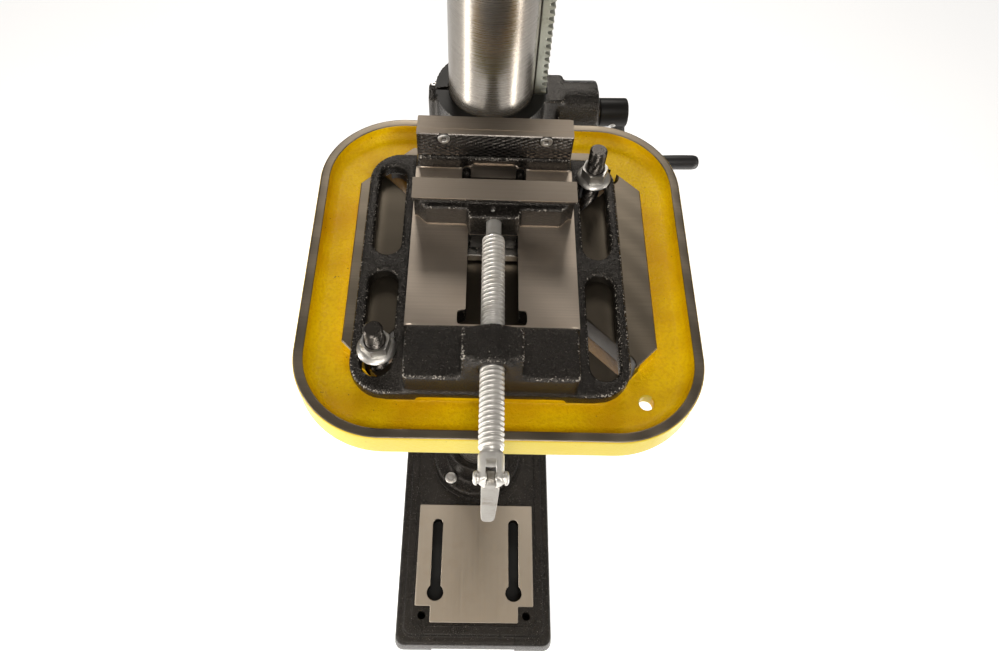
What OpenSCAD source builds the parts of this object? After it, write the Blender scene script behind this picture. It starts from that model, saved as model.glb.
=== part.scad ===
// Floor-standing drill press with a trough table and a clamping vise.
// Millimetres, +Z up. The origin is on the column axis at floor level.
// The operator stands on the -Y side.

/* [View] */
// Sub-part to draw, or all of them

/* [Base] */
// Half of the base width at the floor
base_half_w = 125.5; // [118:0.5:135]
// Distance from the column axis to the front edge of the base
base_front = 311; // [305:1:330]
// Distance from the column axis to the rear edge of the base
base_rear = 125; // [115:1:140]
// Height of the machined pad above the floor
pad_z = 45; // [42:1:50]
// Half of the width of the machined pad
pad_half_w = 93.9; // [90:0.5:98]
// Distance from the middle to each keyhole slot
keyhole_x = 62.9; // [60:0.5:66]
// Width of the keyhole slots
keyhole_w = 16.6; // [12:0.2:18]
// Diameter of the large end of the keyhole slots
keyhole_d = 26; // [22:1:28]
// Diameter of the floor bolt holes
floor_bolt_d = 12; // [9:0.5:14]

/* [Column] */
// Diameter of the column
column_d = 70; // [69.9:0.02:70]
// Wall thickness of the column tube
column_wall = 5; // [3:0.5:10]
// Height of the top of the column
column_top = 1395; // [1300:1:1395]
// Circle that carries the four flange bolts
flange_bolt_pcd = 124; // [122:1:126]

/* [Table] */
// Outside width and depth of the table
table_w = 254; // [248:1:256]
// Corner radius of the table
table_corner = 58; // [45:1:62]
// Thickness of the rim wall
rim_wall = 6.6; // [4:0.2:9]
// Height of the work surface at rest
table_z = 917; // [916:0.5:917]
// Depth of the coolant trough below the work surface
trough_depth = 10; // [6:0.5:11]
// Width of the diagonal slots
slot_w = 15.6; // [13:0.2:17]
// Diameter of the drain hole
drain_d = 9.3; // [6:0.1:12]
// Angle that the table arm is swung round the column
arm_swing = 2.14; // [0:0.01:4]

/* [Vise] */
// Width of the vise jaws
jaw_w = 101.6; // [98:0.2:104]
// Height of the top of the vise jaws
jaw_top = 970; // [965:0.5:975]
// Distance between the vise jaws at rest
jaw_opening = 36; // [35.5:0.5:45]
// Outside diameter of the vise screw
vise_screw_d = 14; // [13:0.1:14]
// Pitch of the vise screw
vise_pitch = 3; // [2.5:0.1:3.5]

/* [Crank] */
// Radius from the crank axis to the grip axis
crank_r = 62.5; // [58:0.5:64]
// Diameter of the crank grip
grip_d = 13.6; // [11:0.2:16]

/* [Head] */
// Underside of the head casting
head_z = 1228; // [1228:1:1232]
// Half of the width of the head casting
head_half_w = 62; // [60:1:64]
// Diameter of the quill
quill_d = 50; // [49.9:0.02:50]
// Half of the width of the belt cover
cover_half_w = 104; // [98:1:106]
// Diameter of the motor
motor_d = 132; // [110:1:136]
// Diameter of the knobs on the feed levers
knob_d = 28; // [20:1:28]

/* [Hidden] */

$fn = 96;
black = [0.06, 0.06, 0.065];
machined = [0.47, 0.43, 0.39];
steel = [0.72, 0.71, 0.69];
zinc = [0.80, 0.80, 0.78];
oxide = [0.10, 0.10, 0.10];
yellow = [0.95, 0.78, 0.05];
rubber = [0.04, 0.04, 0.04];

column_r = column_d / 2;
reach = 199.5;
stem_x = reach * sin(arm_swing);
stem_y = -reach * cos(arm_swing);
vise_x = 1.7;
vise_y = -199.4;
vise_base = table_z;
ways_z = table_z + 24.3;
screw_z = table_z + 35.3;
jaw_half = jaw_w / 2;
fixed_face = 60.1;
ledge_z = ways_z + 9;
foot_z = ways_z + 16.2;
neck_r = 4.7;
stud_r = 5.9;
moving_face = fixed_face - jaw_opening;
tooth_pitch = 2 * PI;
pinion_x = 55.5;
pinion_z = 836.2;
crank_z = 856.2;
tilt_z = 832;
spindle_y = -199.5;
feed_y = -164.5;
feed_z = 1252;
motor_y = 175;

// A rounded rectangle, w by d, with corner radius r
module rounded(w, d, r) {
  square([w - 2 * r, d], center = true);
  square([w, d - 2 * r], center = true);
  for (x = [-1, 1], y = [-1, 1])
    translate([x * (w / 2 - r), y * (d / 2 - r)]) circle(r = r);
}

// A rounded rectangle between two corners
module rounded_box(x0, x1, y0, y1, z0, z1, r) {
  translate([(x0 + x1) / 2, (y0 + y1) / 2, z0])
    linear_extrude(z1 - z0) rounded(x1 - x0, y1 - y0, r);
}

// A plain block between two corners
module block(x0, x1, y0, y1, z0, z1) {
  translate([x0, y0, z0]) cube([x1 - x0, y1 - y0, z1 - z0]);
}

// A cylinder along X, Y or Z
module rod_x(x0, x1, y, z, r) {
  translate([x0, y, z]) rotate([0, 90, 0]) cylinder(r = r, h = x1 - x0);
}

module rod_y(y0, y1, x, z, r) {
  translate([x, y1, z]) rotate([90, 0, 0]) cylinder(r = r, h = y1 - y0);
}

module rod_z(z0, z1, x, y, r) {
  translate([x, y, z0]) cylinder(r = r, h = z1 - z0);
}

// A slot with round ends, running along Y
module slot_y(x, y0, y1, w, z0, z1) {
  translate([x - w / 2, y0 + w / 2, z0]) cube([w, y1 - y0 - w, z1 - z0]);
  rod_z(z0, z1, x, y0 + w / 2, w / 2);
  rod_z(z0, z1, x, y1 - w / 2, w / 2);
}

// Everything that swings round the column with the table
module swung() {
  rotate([0, 0, arm_swing]) children();
}

// The table stands square to the base although its arm is swung
module on_table() {
  translate([stem_x, stem_y, 0]) children();
}

module on_vise() {
  translate([vise_x, vise_y, 0]) children();
}

// Twelve straight-sided teeth on a hub
module gear_outline() {
  circle(r = 9.5);
  for (i = [0 : 11])
    rotate(30 * i)
      polygon([[0, -1.9], [9.4, -1.9], [12, -1.35], [13.6, -0.65],
        [13.6, 0.65], [12, 1.35], [9.4, 1.9], [0, 1.9]]);
}

// One rack tooth in the plane of the rack, pointing along +X
module rack_tooth(length) {
  rotate([90, 0, 0])
    translate([0, 0, -length / 2])
      linear_extrude(length)
        polygon([[-0.5, -2.2], [0, -2.2], [4.3, -0.65],
          [4.3, 0.65], [0, 2.2], [-0.5, 2.2]]);
}

module base() {
  color(black)
  difference() {
    union() {
      difference() {
        union() {
          intersection() {
            rounded_box(-base_half_w, base_half_w, -base_front, base_rear, 0, 33, 15);
            rotate([90, 0, 0]) translate([0, 0, -200]) linear_extrude(600)
              polygon([[-base_half_w, 0], [base_half_w, 0],
                [base_half_w - 3.2, 33], [-base_half_w + 3.2, 33]]);
            rotate([90, 0, 90]) translate([0, 0, -200]) linear_extrude(400)
              polygon([[-base_front, 0], [base_rear, 0],
                [base_rear - 3.2, 33], [-base_front + 3.2, 33]]);
          }
          rounded_box(-112, 112, -295, base_rear - 15, 33, 38, 15);
          rounded_box(-99, 99, -280, base_rear - 26, 38, pad_z - 4, 8);
        }
        // hollow underside
        rounded_box(-base_half_w + 11, base_half_w - 11,
          -base_front + 11, base_rear - 11, -1, 27, 8);
        rounded_box(-90, 90, -270, 92, 26, 33, 4);
        // arches between the feet
        block(-66, 66, -base_front - 1, -base_front + 12, -1, 9);
        block(-66, 66, base_rear - 12, base_rear + 1, -1, 9);
        block(-base_half_w - 1, -base_half_w + 12, -245, 60, -1, 9);
        block(base_half_w - 12, base_half_w + 1, -245, 60, -1, 9);
      }
      // ribs under the top
      for (x = [-40, 40]) block(x - 4, x + 4, -base_front + 8, base_rear - 8, 6, 35);
      for (y = [-248, -96, 10]) block(-base_half_w + 8, base_half_w - 8, y - 4, y + 4, 6, 35);
      // pillar below the column
      rod_z(0, 36, 0, 0, 38);
      // bosses round the bolt holes
      for (x = [-83, 83], y = [-265, 88]) rod_z(0, 38, x, y, 14);
      for (a = [45, 135, 225, 315])
        rotate([0, 0, a]) translate([flange_bolt_pcd / 2, 0, 16]) cylinder(r = 11, h = 20);
      // machined pad with notched corners
      difference() {
        rounded_box(-pad_half_w, pad_half_w, -275.9, -87.3, 38, pad_z, 3);
        for (s = [-1, 1]) translate([s * 82, -264, 45]) cube([25, 26, 20], center = true);
      }
      // seat of the column flange
      rod_z(38, pad_z, 0, 0, 78);
    }
    for (s = [-1, 1]) {
      slot_y(s * keyhole_x, -238.9, -111.6, keyhole_w, 20, pad_z + 1);
      rod_z(20, pad_z + 1, s * keyhole_x, -230.6, keyhole_d / 2);
    }
    for (x = [-83, 83], y = [-265, 88]) rod_z(-1, 50, x, y, floor_bolt_d / 2);
    for (a = [45, 135, 225, 315])
      rotate([0, 0, a]) translate([flange_bolt_pcd / 2, 0, 15]) cylinder(r = 5.03, h = 40);
  }
}

module column_flange() {
  color(black)
  difference() {
    rotate_extrude() polygon([[30, pad_z], [74, pad_z], [74, pad_z + 7], [71, pad_z + 10],
      [71, pad_z + 12], [52, pad_z + 14], [50, pad_z + 18], [50, 112], [30, 112]]);
    rod_z(pad_z + 4, 120, 0, 0, column_r + 0.03);
    rod_z(104, 120, 0, 0, 46.2);
    for (a = [45, 135, 225, 315])
      rotate([0, 0, a]) translate([flange_bolt_pcd / 2, 0, 40]) cylinder(r = 5.3, h = 40);
    for (a = [45, 135, 225, 315])
      rotate([0, 0, a]) translate([flange_bolt_pcd / 2, 0, pad_z + 11]) cylinder(r = 10.6, h = 8);
  }
}

module flange_bolts() {
  color(zinc)
  for (a = [45, 135, 225, 315])
    rotate([0, 0, a]) translate([flange_bolt_pcd / 2, 0, 0]) {
      translate([0, 0, 20]) cylinder(r = 5, h = pad_z - 8);
      translate([0, 0, pad_z + 11]) cylinder(r = 10, h = 1.6);
      translate([0, 0, pad_z + 12.4]) cylinder(r = 8.08, h = 6.8, $fn = 6);
    }
}

module column() {
  color(steel)
  difference() {
    rod_z(pad_z + 4, column_top, 0, 0, column_r);
    rod_z(pad_z + 3, column_top + 1, 0, 0, column_r - column_wall);
  }
}

// Ring that keeps the upper end of the rack
module rack_collar() {
  color(black)
  difference() {
    rod_z(1016, 1044, 0, 0, 52);
    rod_z(1010, 1050, 0, 0, column_r + 0.03);
    rod_z(1010, 1025, 0, 0, 46.2);
    rod_x(-60, 0, 0, 1034, 4.03);
  }
}

module set_screws() {
  color(oxide) {
    rod_x(-53, -column_r - 0.1, 0, 1034, 4);
    for (z = [1262, 1366]) rod_x(-54, -column_r - 0.1, 0, z, 4);
  }
}

module head_casting() {
  color(black)
  difference() {
    union() {
      rod_z(head_z - 6, 1400, 0, 0, 52);
      block(-head_half_w, head_half_w, spindle_y, -4, head_z, 1400);
      rod_z(head_z, 1400, 0, spindle_y, head_half_w);
      rod_z(1212, head_z + 1, 0, spindle_y, 38);
      rod_x(-73, 73, feed_y, feed_z, 27);
      rounded_box(-30, 30, -263.5, -230, 1314, 1390, 4);
      rounded_box(-86, -50, -225, -205, 1282, 1296, 5);
    }
    rod_z(1200, column_top + 0.5, 0, 0, column_r + 0.03);
    rod_z(1200, 1345, 0, spindle_y, quill_d / 2 + 0.05);
    rod_z(1340, 1410, 0, spindle_y, 16.05);
    rod_x(-80, 80, feed_y, feed_z, 9.05);
    rod_x(-8, 8, feed_y, feed_z, 14.4);
    // hollow of the casting
    block(-52, 52, -140, -80, 1300, 1410);
    for (s = [-1, 1]) rod_y(-74, 60, s * 44.5, 1320, 7.05);
    rod_z(1270, 1310, -74, -215, 5.3);
    for (z = [1262, 1366]) rod_x(-60, 0, 0, z, 4.03);
  }
}

module stadium(r) {
  translate([-r, spindle_y]) square([2 * r, motor_y - spindle_y]);
  translate([0, spindle_y]) circle(r = r);
  translate([0, motor_y]) circle(r = r);
}

module cover_pan() {
  color(black) {
    difference() {
      translate([0, 0, 1400]) linear_extrude(38) stadium(cover_half_w);
      translate([0, 0, 1403]) linear_extrude(40) stadium(cover_half_w - 2.5);
      rod_z(1390, 1410, 0, spindle_y, 17);
      slot_y(0, motor_y - 25, motor_y + 18, 32, 1390, 1410);
    }
    for (y = [-130, 90]) {
      difference() {
        union() {
          rod_y(y - 12, y + 12, -cover_half_w - 5, 1436, 4.5);
          block(-cover_half_w - 5, -cover_half_w + 1, y - 12, y + 12, 1430, 1437);
        }
        rod_y(y - 20, y + 20, -cover_half_w - 5, 1436, 2.05);
      }
    }
  }
}

module cover_lid() {
  color(black) {
    difference() {
      translate([0, 0, 1438.5]) linear_extrude(41) stadium(cover_half_w);
      translate([0, 0, 1430]) linear_extrude(47) stadium(cover_half_w - 2.5);
    }
    for (y = [-130, 90]) {
      rod_y(y - 26, y + 26, -cover_half_w - 5, 1436, 2);
      for (s = [-1, 1]) {
        rod_y(y + s * 19 - 6.5, y + s * 19 + 6.5, -cover_half_w - 5, 1436, 4.5);
        block(-cover_half_w - 9.5, -cover_half_w + 1, y + s * 19 - 6.5,
          y + s * 19 + 6.5, 1438.5, 1444);
        block(-cover_half_w - 9.5, -cover_half_w - 5, y + s * 19 - 6.5,
          y + s * 19 + 6.5, 1436, 1439);
      }
    }
    rod_x(cover_half_w - 1, cover_half_w + 14, spindle_y + 90, 1452, 5);
    translate([cover_half_w + 16, spindle_y + 90, 1452]) sphere(r = 8);
  }
}

module motor_slide() {
  color(steel) {
    for (s = [-1, 1]) rod_y(-62, 93, s * 44.5, 1320, 7);
    rounded_box(-60, 60, 92, 104, 1240, 1388, 5);
  }
}

module motor() {
  color(black) {
    difference() {
      union() {
        rod_z(1205, 1385, 0, motor_y, motor_d / 2);
        rod_z(1198, 1206, 0, motor_y, motor_d / 2 - 8);
        rod_z(1384, 1392, 0, motor_y, 40);
        block(-48, 48, 104, motor_y, 1250, 1376);
        rounded_box(motor_d / 2 - 12, motor_d / 2 + 30, motor_y - 28, motor_y + 28, 1250, 1340, 6);
      }
      rod_z(1300, 1400, 0, motor_y, 9.05);
    }
  }
}

module motor_pulley() {
  color(machined) {
    rod_z(1302, 1408, 0, motor_y, 9);
    translate([0, motor_y, 0]) step_pulley([30, 38, 46, 54, 62]);
  }
}

// Five grooved steps, stated from the bottom up
module step_pulley(radii) {
  for (i = [0 : 4])
    translate([0, 0, 1407 + 12.4 * i])
      rotate_extrude()
        polygon([[4, 0], [radii[i], 0], [radii[i], 1.2], [radii[i] - 6, 1.8],
          [radii[i] - 6, 10.8], [radii[i], 11.4], [radii[i], 12.5], [4, 12.5]]);
}

module spindle_pulley() {
  color(machined)
  difference() {
    translate([0, spindle_y, 0]) {
      translate([0, 0, 1346]) cylinder(r = 16, h = 62);
      step_pulley([62, 54, 46, 38, 30]);
    }
    rod_z(1340, 1480, 0, spindle_y, 8.05);
  }
}

module drive_belt() {
  color(rubber)
  translate([0, 0, 1434.2])
    linear_extrude(7.4)
      difference() {
        stadium(47.4);
        stadium(40.5);
      }
}

module quill() {
  color(steel)
  translate([0, spindle_y, 0])
  difference() {
    union() {
      difference() {
        translate([0, 0, 1178]) cylinder(r = quill_d / 2, h = 165);
        block(-8, 8, 20.5, 30, 1236, 1344);
      }
      intersection() {
        for (i = [-2 : 13])
          translate([0, 20.5, feed_z + tooth_pitch * (i + 0.5)])
            rotate([0, 0, 90]) rack_tooth(16);
        translate([0, 0, 1178]) cylinder(r = quill_d / 2, h = 165);
      }
    }
    translate([0, 0, 1170]) cylinder(r = 12.05, h = 180);
  }
}

module spindle() {
  color(steel) {
    rod_z(1177.6, 1340, 0, spindle_y, 12);
    rod_z(1174.2, 1177.7, 0, spindle_y, 15);
    rod_z(1162, 1175, 0, spindle_y, 8);
    rod_z(1339, 1462, 0, spindle_y, 8);
  }
}

// Centre line of one slanted jaw, from the chuck's axis
module on_jaw(a) {
  translate([0, spindle_y, 1133]) rotate([0, 0, a])
    translate([6.5, 0, 0]) rotate([0, 15, 0]) children();
}

module chuck_body() {
  color(machined)
  difference() {
    union() {
      rod_z(1150, 1174, 0, spindle_y, 24);
      rod_z(1136, 1151, 0, spindle_y, 18);
    }
    rod_z(1161.5, 1180, 0, spindle_y, 8.03);
    rod_z(1130, 1150, 0, spindle_y, 6.6);
    for (a = [90, 210, 330]) on_jaw(a) translate([0, 0, -2]) cylinder(r = 3.05, h = 34);
  }
}

module chuck_sleeve() {
  color(steel)
  difference() {
    rod_z(1136.5, 1149.6, 0, spindle_y, 27);
    rod_z(1130, 1155, 0, spindle_y, 18.05);
    for (i = [0 : 23])
      rotate_about(i * 15) translate([27, 0, 1144.6]) cylinder(r = 1.4, h = 8, $fn = 12);
  }
}

module rotate_about(a) {
  translate([0, spindle_y, 0]) rotate([0, 0, a]) children();
}

module chuck_jaw(a) {
  color(steel) on_jaw(a) cylinder(r = 3, h = 26);
}

module chuck_jaw_a() {
  chuck_jaw(90);
}

module chuck_jaw_b() {
  chuck_jaw(210);
}

module chuck_jaw_c() {
  chuck_jaw(330);
}

module feed_hub() {
  color(machined)
  difference() {
    union() {
      rod_x(-70, 76, feed_y, feed_z, 9);
      translate([-7, feed_y, feed_z]) rotate([90, 0, 90]) linear_extrude(14) gear_outline();
      rod_x(74, 112, feed_y, feed_z, 22);
    }
    for (a = [60, 180, 300]) on_feed(a) translate([0, 0, 10]) cylinder(r = 5.03, h = 20);
  }
}

// A feed lever's own axis, at angle a above the +Y direction
module on_feed(a) {
  translate([97, feed_y, feed_z]) rotate([a - 90, 0, 0]) children();
}

module feed_rod(a) {
  color(steel) on_feed(a) translate([0, 0, 10.1]) cylinder(r = 5, h = 118);
}

module feed_knob(a) {
  color(rubber)
  on_feed(a)
    difference() {
      translate([0, 0, 130]) sphere(r = knob_d / 2);
      translate([0, 0, 100]) cylinder(r = 5.03, h = 28.2);
    }
}

module feed_rod_a() {
  feed_rod(60);
}

module feed_rod_b() {
  feed_rod(180);
}

module feed_rod_c() {
  feed_rod(300);
}

module feed_knob_a() {
  feed_knob(60);
}

module feed_knob_b() {
  feed_knob(180);
}

module feed_knob_c() {
  feed_knob(300);
}

module spring_cap() {
  color(black)
  difference() {
    rod_x(-94, -73, feed_y, feed_z, 27);
    rod_x(-91, -72, feed_y, feed_z, 24);
  }
}

module stop_arm() {
  color(black)
  difference() {
    union() {
      rod_z(1181, 1193, 0, spindle_y, 34);
      rounded_box(-84, -20, -224, -206, 1181, 1193, 6);
    }
    rod_z(1180, 1200, 0, spindle_y, quill_d / 2 + 0.02);
    rod_z(1170, 1200, -74, -215, 5.02);
  }
}

module stop_rod() {
  color(steel) rod_z(1181, 1398, -74, -215, 5);
}

module stop_nuts() {
  color(zinc)
  difference() {
    for (z = [1376.4, 1386]) rod_z(z, z + 8.6, -74, -215, 10);
    rod_z(1370, 1400, -74, -215, 5.02);
  }
}

module switch_box() {
  color(rubber)
  difference() {
    rounded_box(-27, 27, -284, -263.5, 1318, 1386, 4);
    for (z = [1338, 1366]) rod_y(-290, -268, 0, z, 9.1);
  }
}

module start_button() {
  color([0.1, 0.5, 0.2]) rod_y(-286, -271, 0, 1366, 8.8);
}

module stop_button() {
  color([0.75, 0.1, 0.08]) rod_y(-289, -271, 0, 1338, 8.8);
}

module rack() {
  color(zinc)
  swung() {
    block(column_r + 0.3, 41, -6.5, 6.5, 104.3, 1024.6);
    for (i = [-116 : 29])
      translate([41, 0, pinion_z + tooth_pitch * (i + 0.5)]) rack_tooth(13);
  }
}

module bracket() {
  color(black)
  swung()
  difference() {
    union() {
      rod_z(773, 883, 0, 0, 46.5);
      rounded_box(-52, -36, -12, 10, 790, 880, 3);
      rounded_box(-60, -38, -12, 12, 785, 835, 3);
      rounded_box(36, 61, -16, 17, 812, 883, 3);
      rounded_box(40, 74, -16, 17, 818, 862, 3);
      rod_x(55, 90, 0, crank_z + 3.8, 23.5);
      rod_y(-62, -20, 0, tilt_z, 34);
      block(-22, 22, -62, -30, 790, 815);
    }
    rod_z(770, 890, 0, 0, column_r + 0.05);
    block(30, 46.2, -6.9, 6.9, 770, 890);
    // split and lock screw
    block(-65, -30, -2.6, 0.2, 770, 890);
    rod_y(-20, 20, -52.5, 812, 4.05);
    rod_z(868, 890, -47.5, 6.4, 2.03);
    // pinion and worm chamber
    rod_y(-7.6, 7.6, pinion_x, pinion_z, 14.6);
    rod_y(-30, 30, pinion_x, pinion_z, 6.05);
    rod_x(44, 72, 0, crank_z, 9.05);
    rod_x(70, 95, 0, crank_z, 9.05);
    rod_y(-70, -42, 0, tilt_z, 8.03);
  }
}

// The worm is a stack of discs whose centres climb round the axis
module worm_shaft() {
  color(steel)
  swung()
  translate([0, 0, crank_z]) {
    rod_x(71.4, 93.4, 0, 0, 9);
    rod_x(93, 116.6, 0, 0, 6.5);
    for (i = [0 : 44])
      rotate([360 * (48 + (i + 0.5) * tooth_pitch / 12 - pinion_x) / tooth_pitch, 0, 0])
        rod_x(48 + i * tooth_pitch / 12, 48 + (i + 1.02) * tooth_pitch / 12, 0, 1.8, 5.6);
  }
}

module crank() {
  color(black)
  swung()
  difference() {
    union() {
      rod_x(93.5, 117, 0, crank_z, 12);
      translate([0, 8, 0]) rotate([90, 0, 0]) linear_extrude(16)
        polygon([[104, crank_z], [116, crank_z - 2], [119, crank_z - 12], [121, crank_z - 30],
          [143.4, crank_z - crank_r + 4], [143.4, crank_z - crank_r],
          [134.6, crank_z - crank_r], [134.6, crank_z - crank_r + 2],
          [110, crank_z - 34], [107, crank_z - 12]]);
      rod_x(134.6, 143.4, 0, crank_z - crank_r, 8);
    }
    rod_x(90, 120, 0, crank_z, 6.53);
    rod_x(130, 150, 0, crank_z - crank_r, 4.03);
    translate([105, 0, crank_z]) rotate([115, 0, 0]) cylinder(r = 3.03, h = 15);
  }
}

module crank_screw() {
  color(zinc)
  swung() {
    translate([105, 0, crank_z]) rotate([115, 0, 0])
    difference() {
      translate([0, 0, 6.8]) cylinder(r = 3, h = 5.4);
      translate([0, 0, 9.6]) cylinder(r = 1.6, h = 5, $fn = 6);
    }
    rod_x(134.8, 190, 0, crank_z - crank_r, 4);
  }
}

module crank_grip() {
  color(black)
  swung()
  difference() {
    union() {
      rod_x(143.8, 197, 0, crank_z - crank_r, grip_d / 2);
      rod_x(143.8, 146, 0, crank_z - crank_r, grip_d / 2 + 1);
    }
    rod_x(140, 190.4, 0, crank_z - crank_r, 4.06);
  }
}

module pinion() {
  color(steel)
  swung()
  translate([pinion_x, 0, pinion_z]) {
    rotate([90, 0, 0]) translate([0, 0, -7]) linear_extrude(14) gear_outline();
    rod_y(-16, 17, 0, 0, 6);
  }
}

module column_lock() {
  color(zinc)
  swung() {
    rod_y(-27, 16, -52.5, 812, 4);
    rod_y(-25, -12.6, -52.5, 812, 6.5);
    translate([-52.5, -19, 812]) rotate([180, 12, 0]) cylinder(r = 3.5, h = 78);
    translate([-52.5, -19, 812]) rotate([180, 12, 0]) translate([0, 0, 80]) sphere(r = 7.5);
  }
}

// Small screw in the top of the clamping ear
module ear_screw() {
  color(zinc)
  swung()
  difference() {
    rod_z(868.5, 881, -47.5, 6.4, 2);
    translate([-47.5, 6.4, 879]) cylinder(r = 1.1, h = 5, $fn = 6);
  }
}

module tilt_bolt() {
  color(zinc)
  swung() {
    rod_y(-76, -42.5, 0, tilt_z, 8);
    translate([0, -74.2, tilt_z]) rotate([90, 0, 0]) cylinder(r = 13.86, h = 10, $fn = 6);
  }
}

module table_arm() {
  color(black)
  swung()
  difference() {
    union() {
      rod_y(-74, -62.4, 0, tilt_z, 34);
      block(-21, 21, -180, -66, 852, 866);
      for (s = [-1, 1]) block(s * 18 - 3, s * 18 + 3, -180, -66, 812, 866);
      rod_z(806, 866, 0, -reach, 30);
      rounded_box(-15, 15, -243, -222, 812, 860, 3);
    }
    rod_y(-80, -60, 0, tilt_z, 8.06);
    rod_z(800, 870, 0, -reach, 16.05);
    block(-2, 2, -250, -reach, 800, 870);
    rod_x(-20, 20, -236, 836, 5.05);
  }
}

module table_lock() {
  color(zinc)
  swung() {
    rod_x(-15.6, 30, -236, 836, 5);
    rod_x(15.4, 30, -236, 836, 9);
    translate([24, -236, 836]) rotate([180, 0, 0]) cylinder(r = 4, h = 62);
    translate([24, -236, 772]) sphere(r = 8);
  }
}

module octagon(half, chamfer_sum) {
  k = chamfer_sum - half;
  polygon([[half, k], [k, half], [-k, half], [-half, k],
    [-half, -k], [-k, -half], [k, -half], [half, -k]]);
}

module table() {
  color(yellow)
  on_table()
  difference() {
    union() {
      difference() {
        translate([0, 0, table_z - 23.5])
          linear_extrude(22.5) rounded(table_w, table_w, table_corner);
        translate([0, 0, table_z - trough_depth]) linear_extrude(20)
          rounded(table_w - 2 * rim_wall, table_w - 2 * rim_wall, table_corner - rim_wall);
        translate([0, 0, table_z - 30]) linear_extrude(12)
          rounded(table_w - 2 * rim_wall, table_w - 2 * rim_wall, table_corner - rim_wall);
      }
      translate([0, 0, table_z - 18]) linear_extrude(18) octagon(97.9, 161.4);
      for (a = [0, 90]) rotate([0, 0, a])
        translate([0, 0, table_z - 22]) cube([230, 7, 9], center = true);
      rod_z(868, table_z - 10, 0, 0, 27);
      rod_z(800, 870, 0, 0, 16);
      // walls that carry the sides of the slots downward
      for (a = [45, 135, 225, 315])
        rotate([0, 0, a]) block(20, 120, -13.6, 13.6, table_z - 38, table_z - 14);
    }
    for (a = [45, 135, 225, 315])
      rotate([0, 0, a]) {
        block(44, 114.6, -slot_w / 2, slot_w / 2, table_z - 40, table_z + 1);
        rod_z(table_z - 40, table_z + 1, 44, 0, slot_w / 2);
      }
    rod_z(table_z - 30, table_z, 90.3, -96.5, drain_d / 2);
  }
}

module vise_body() {
  color(black)
  on_vise()
  difference() {
    union() {
      // bolting flange
      rounded_box(-84.5, 84.5, -103.1, 83, vise_base, vise_base + 10, 22);
      // ways and the block in front of them
      block(-52.3, 52.3, -70, 78, vise_base, ways_z);
      rounded_box(-51.2, 51.2, -101.6, -66.2, vise_base, vise_base + 27.3, 3);
      // nut boss
      block(-17.9, 17.9, -98.1, -77.1, vise_base, vise_base + 42);
      translate([-17.9, 0, 0]) rotate([90, 0, 90]) linear_extrude(35.8)
        polygon([[-101.6, vise_base], [-101.6, vise_base + 26], [-98, vise_base + 46],
          [-77.1, vise_base + 46], [-75.6, vise_base + 26], [-75.6, vise_base]]);
      rod_y(-101, -76, 0, screw_z, 13);
      // fixed jaw
      block(-jaw_half, jaw_half, fixed_face + 5, 76.8, vise_base, jaw_top);
      block(-jaw_half, jaw_half, fixed_face - 1.7, 76.8, vise_base, ledge_z);
      block(-jaw_half + 8, jaw_half - 8, 70, 80.5, vise_base, jaw_top - 14);
    }
    // window between the ways, its step at the back and the widened ends
    block(-15.7, 15.7, -60, 55.5, vise_base - 1, ways_z + 5);
    block(-15.7, 15.7, 55, 68, ways_z - 6.3, ways_z + 5);
    block(-20.8, 20.8, -63.6, -54.1, vise_base - 1, ways_z + 5);
    for (x = [-21.3, 15.6]) block(x, x + 5.7, 46, 65, vise_base + 12, ways_z + 3.8);
    // recess for the keeper below the ways
    block(-27, 27, -60, 60, vise_base - 1, vise_base + 8.3);
    // slots in the flange
    for (s = [-1, 1]) {
      slot_y(s * 68.4, -3.6, 71.7, 17.9, vise_base - 1, vise_base + 30);
      slot_y(s * 68.4, -91.8, -16.4, 17.9, vise_base - 1, vise_base + 30);
    }
    // relief below the front block
    block(-43.5, 43.5, -110, -74, vise_base - 1, vise_base + 3.5);
    rod_y(-110, -50, 0, screw_z, vise_screw_d / 2 + 0.08);
    for (x = [-33.2, 33.2]) rod_y(60, 72, x, 965.3, 2.53);
  }
}

module vise_studs() {
  color(oxide)
  on_vise() {
    for (p = [[-68.7, -73.9, table_z + 33.7], [69.3, 64.9, table_z + 38.2]]) {
      rod_z(table_z - 46, p[2], p[0], p[1], stud_r);
      rod_z(table_z - 41, table_z - 38, p[0], p[1], 13);
      translate([p[0], p[1], table_z - 47.6]) cylinder(r = 9.8, h = 6.7, $fn = 6);
    }
  }
}

module vise_nuts() {
  color(zinc)
  on_vise()
  for (p = [[-68.7, -73.9], [69.3, 64.9]])
    difference() {
      union() {
        rod_z(vise_base + 10, vise_base + 12.4, p[0], p[1], 12);
        translate([p[0], p[1], vise_base + 12]) cylinder(r = 9.24, h = 8.6, $fn = 6);
      }
      rod_z(vise_base, vise_base + 30, p[0], p[1], stud_r + 0.03);
    }
}

module fixed_jaw_plate() {
  color(oxide)
  on_vise()
  difference() {
    block(-jaw_half, jaw_half, fixed_face, fixed_face + 5, ledge_z + 0.1, jaw_top);
    for (x = [-33.2, 33.2]) rod_y(50, 70, x, 965.3, 2.55);
    for (x = [-33.2, 33.2]) rod_y(fixed_face - 1, fixed_face + 2, x, 965.3, 4.1);
  }
}

module fixed_plate_screws() {
  color(zinc)
  on_vise()
  for (x = [-33.2, 33.2]) {
    rod_y(fixed_face + 1, 71, x, 965.3, 2.5);
    rod_y(fixed_face - 0.4, fixed_face + 2, x, 965.3, 4);
  }
}

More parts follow.
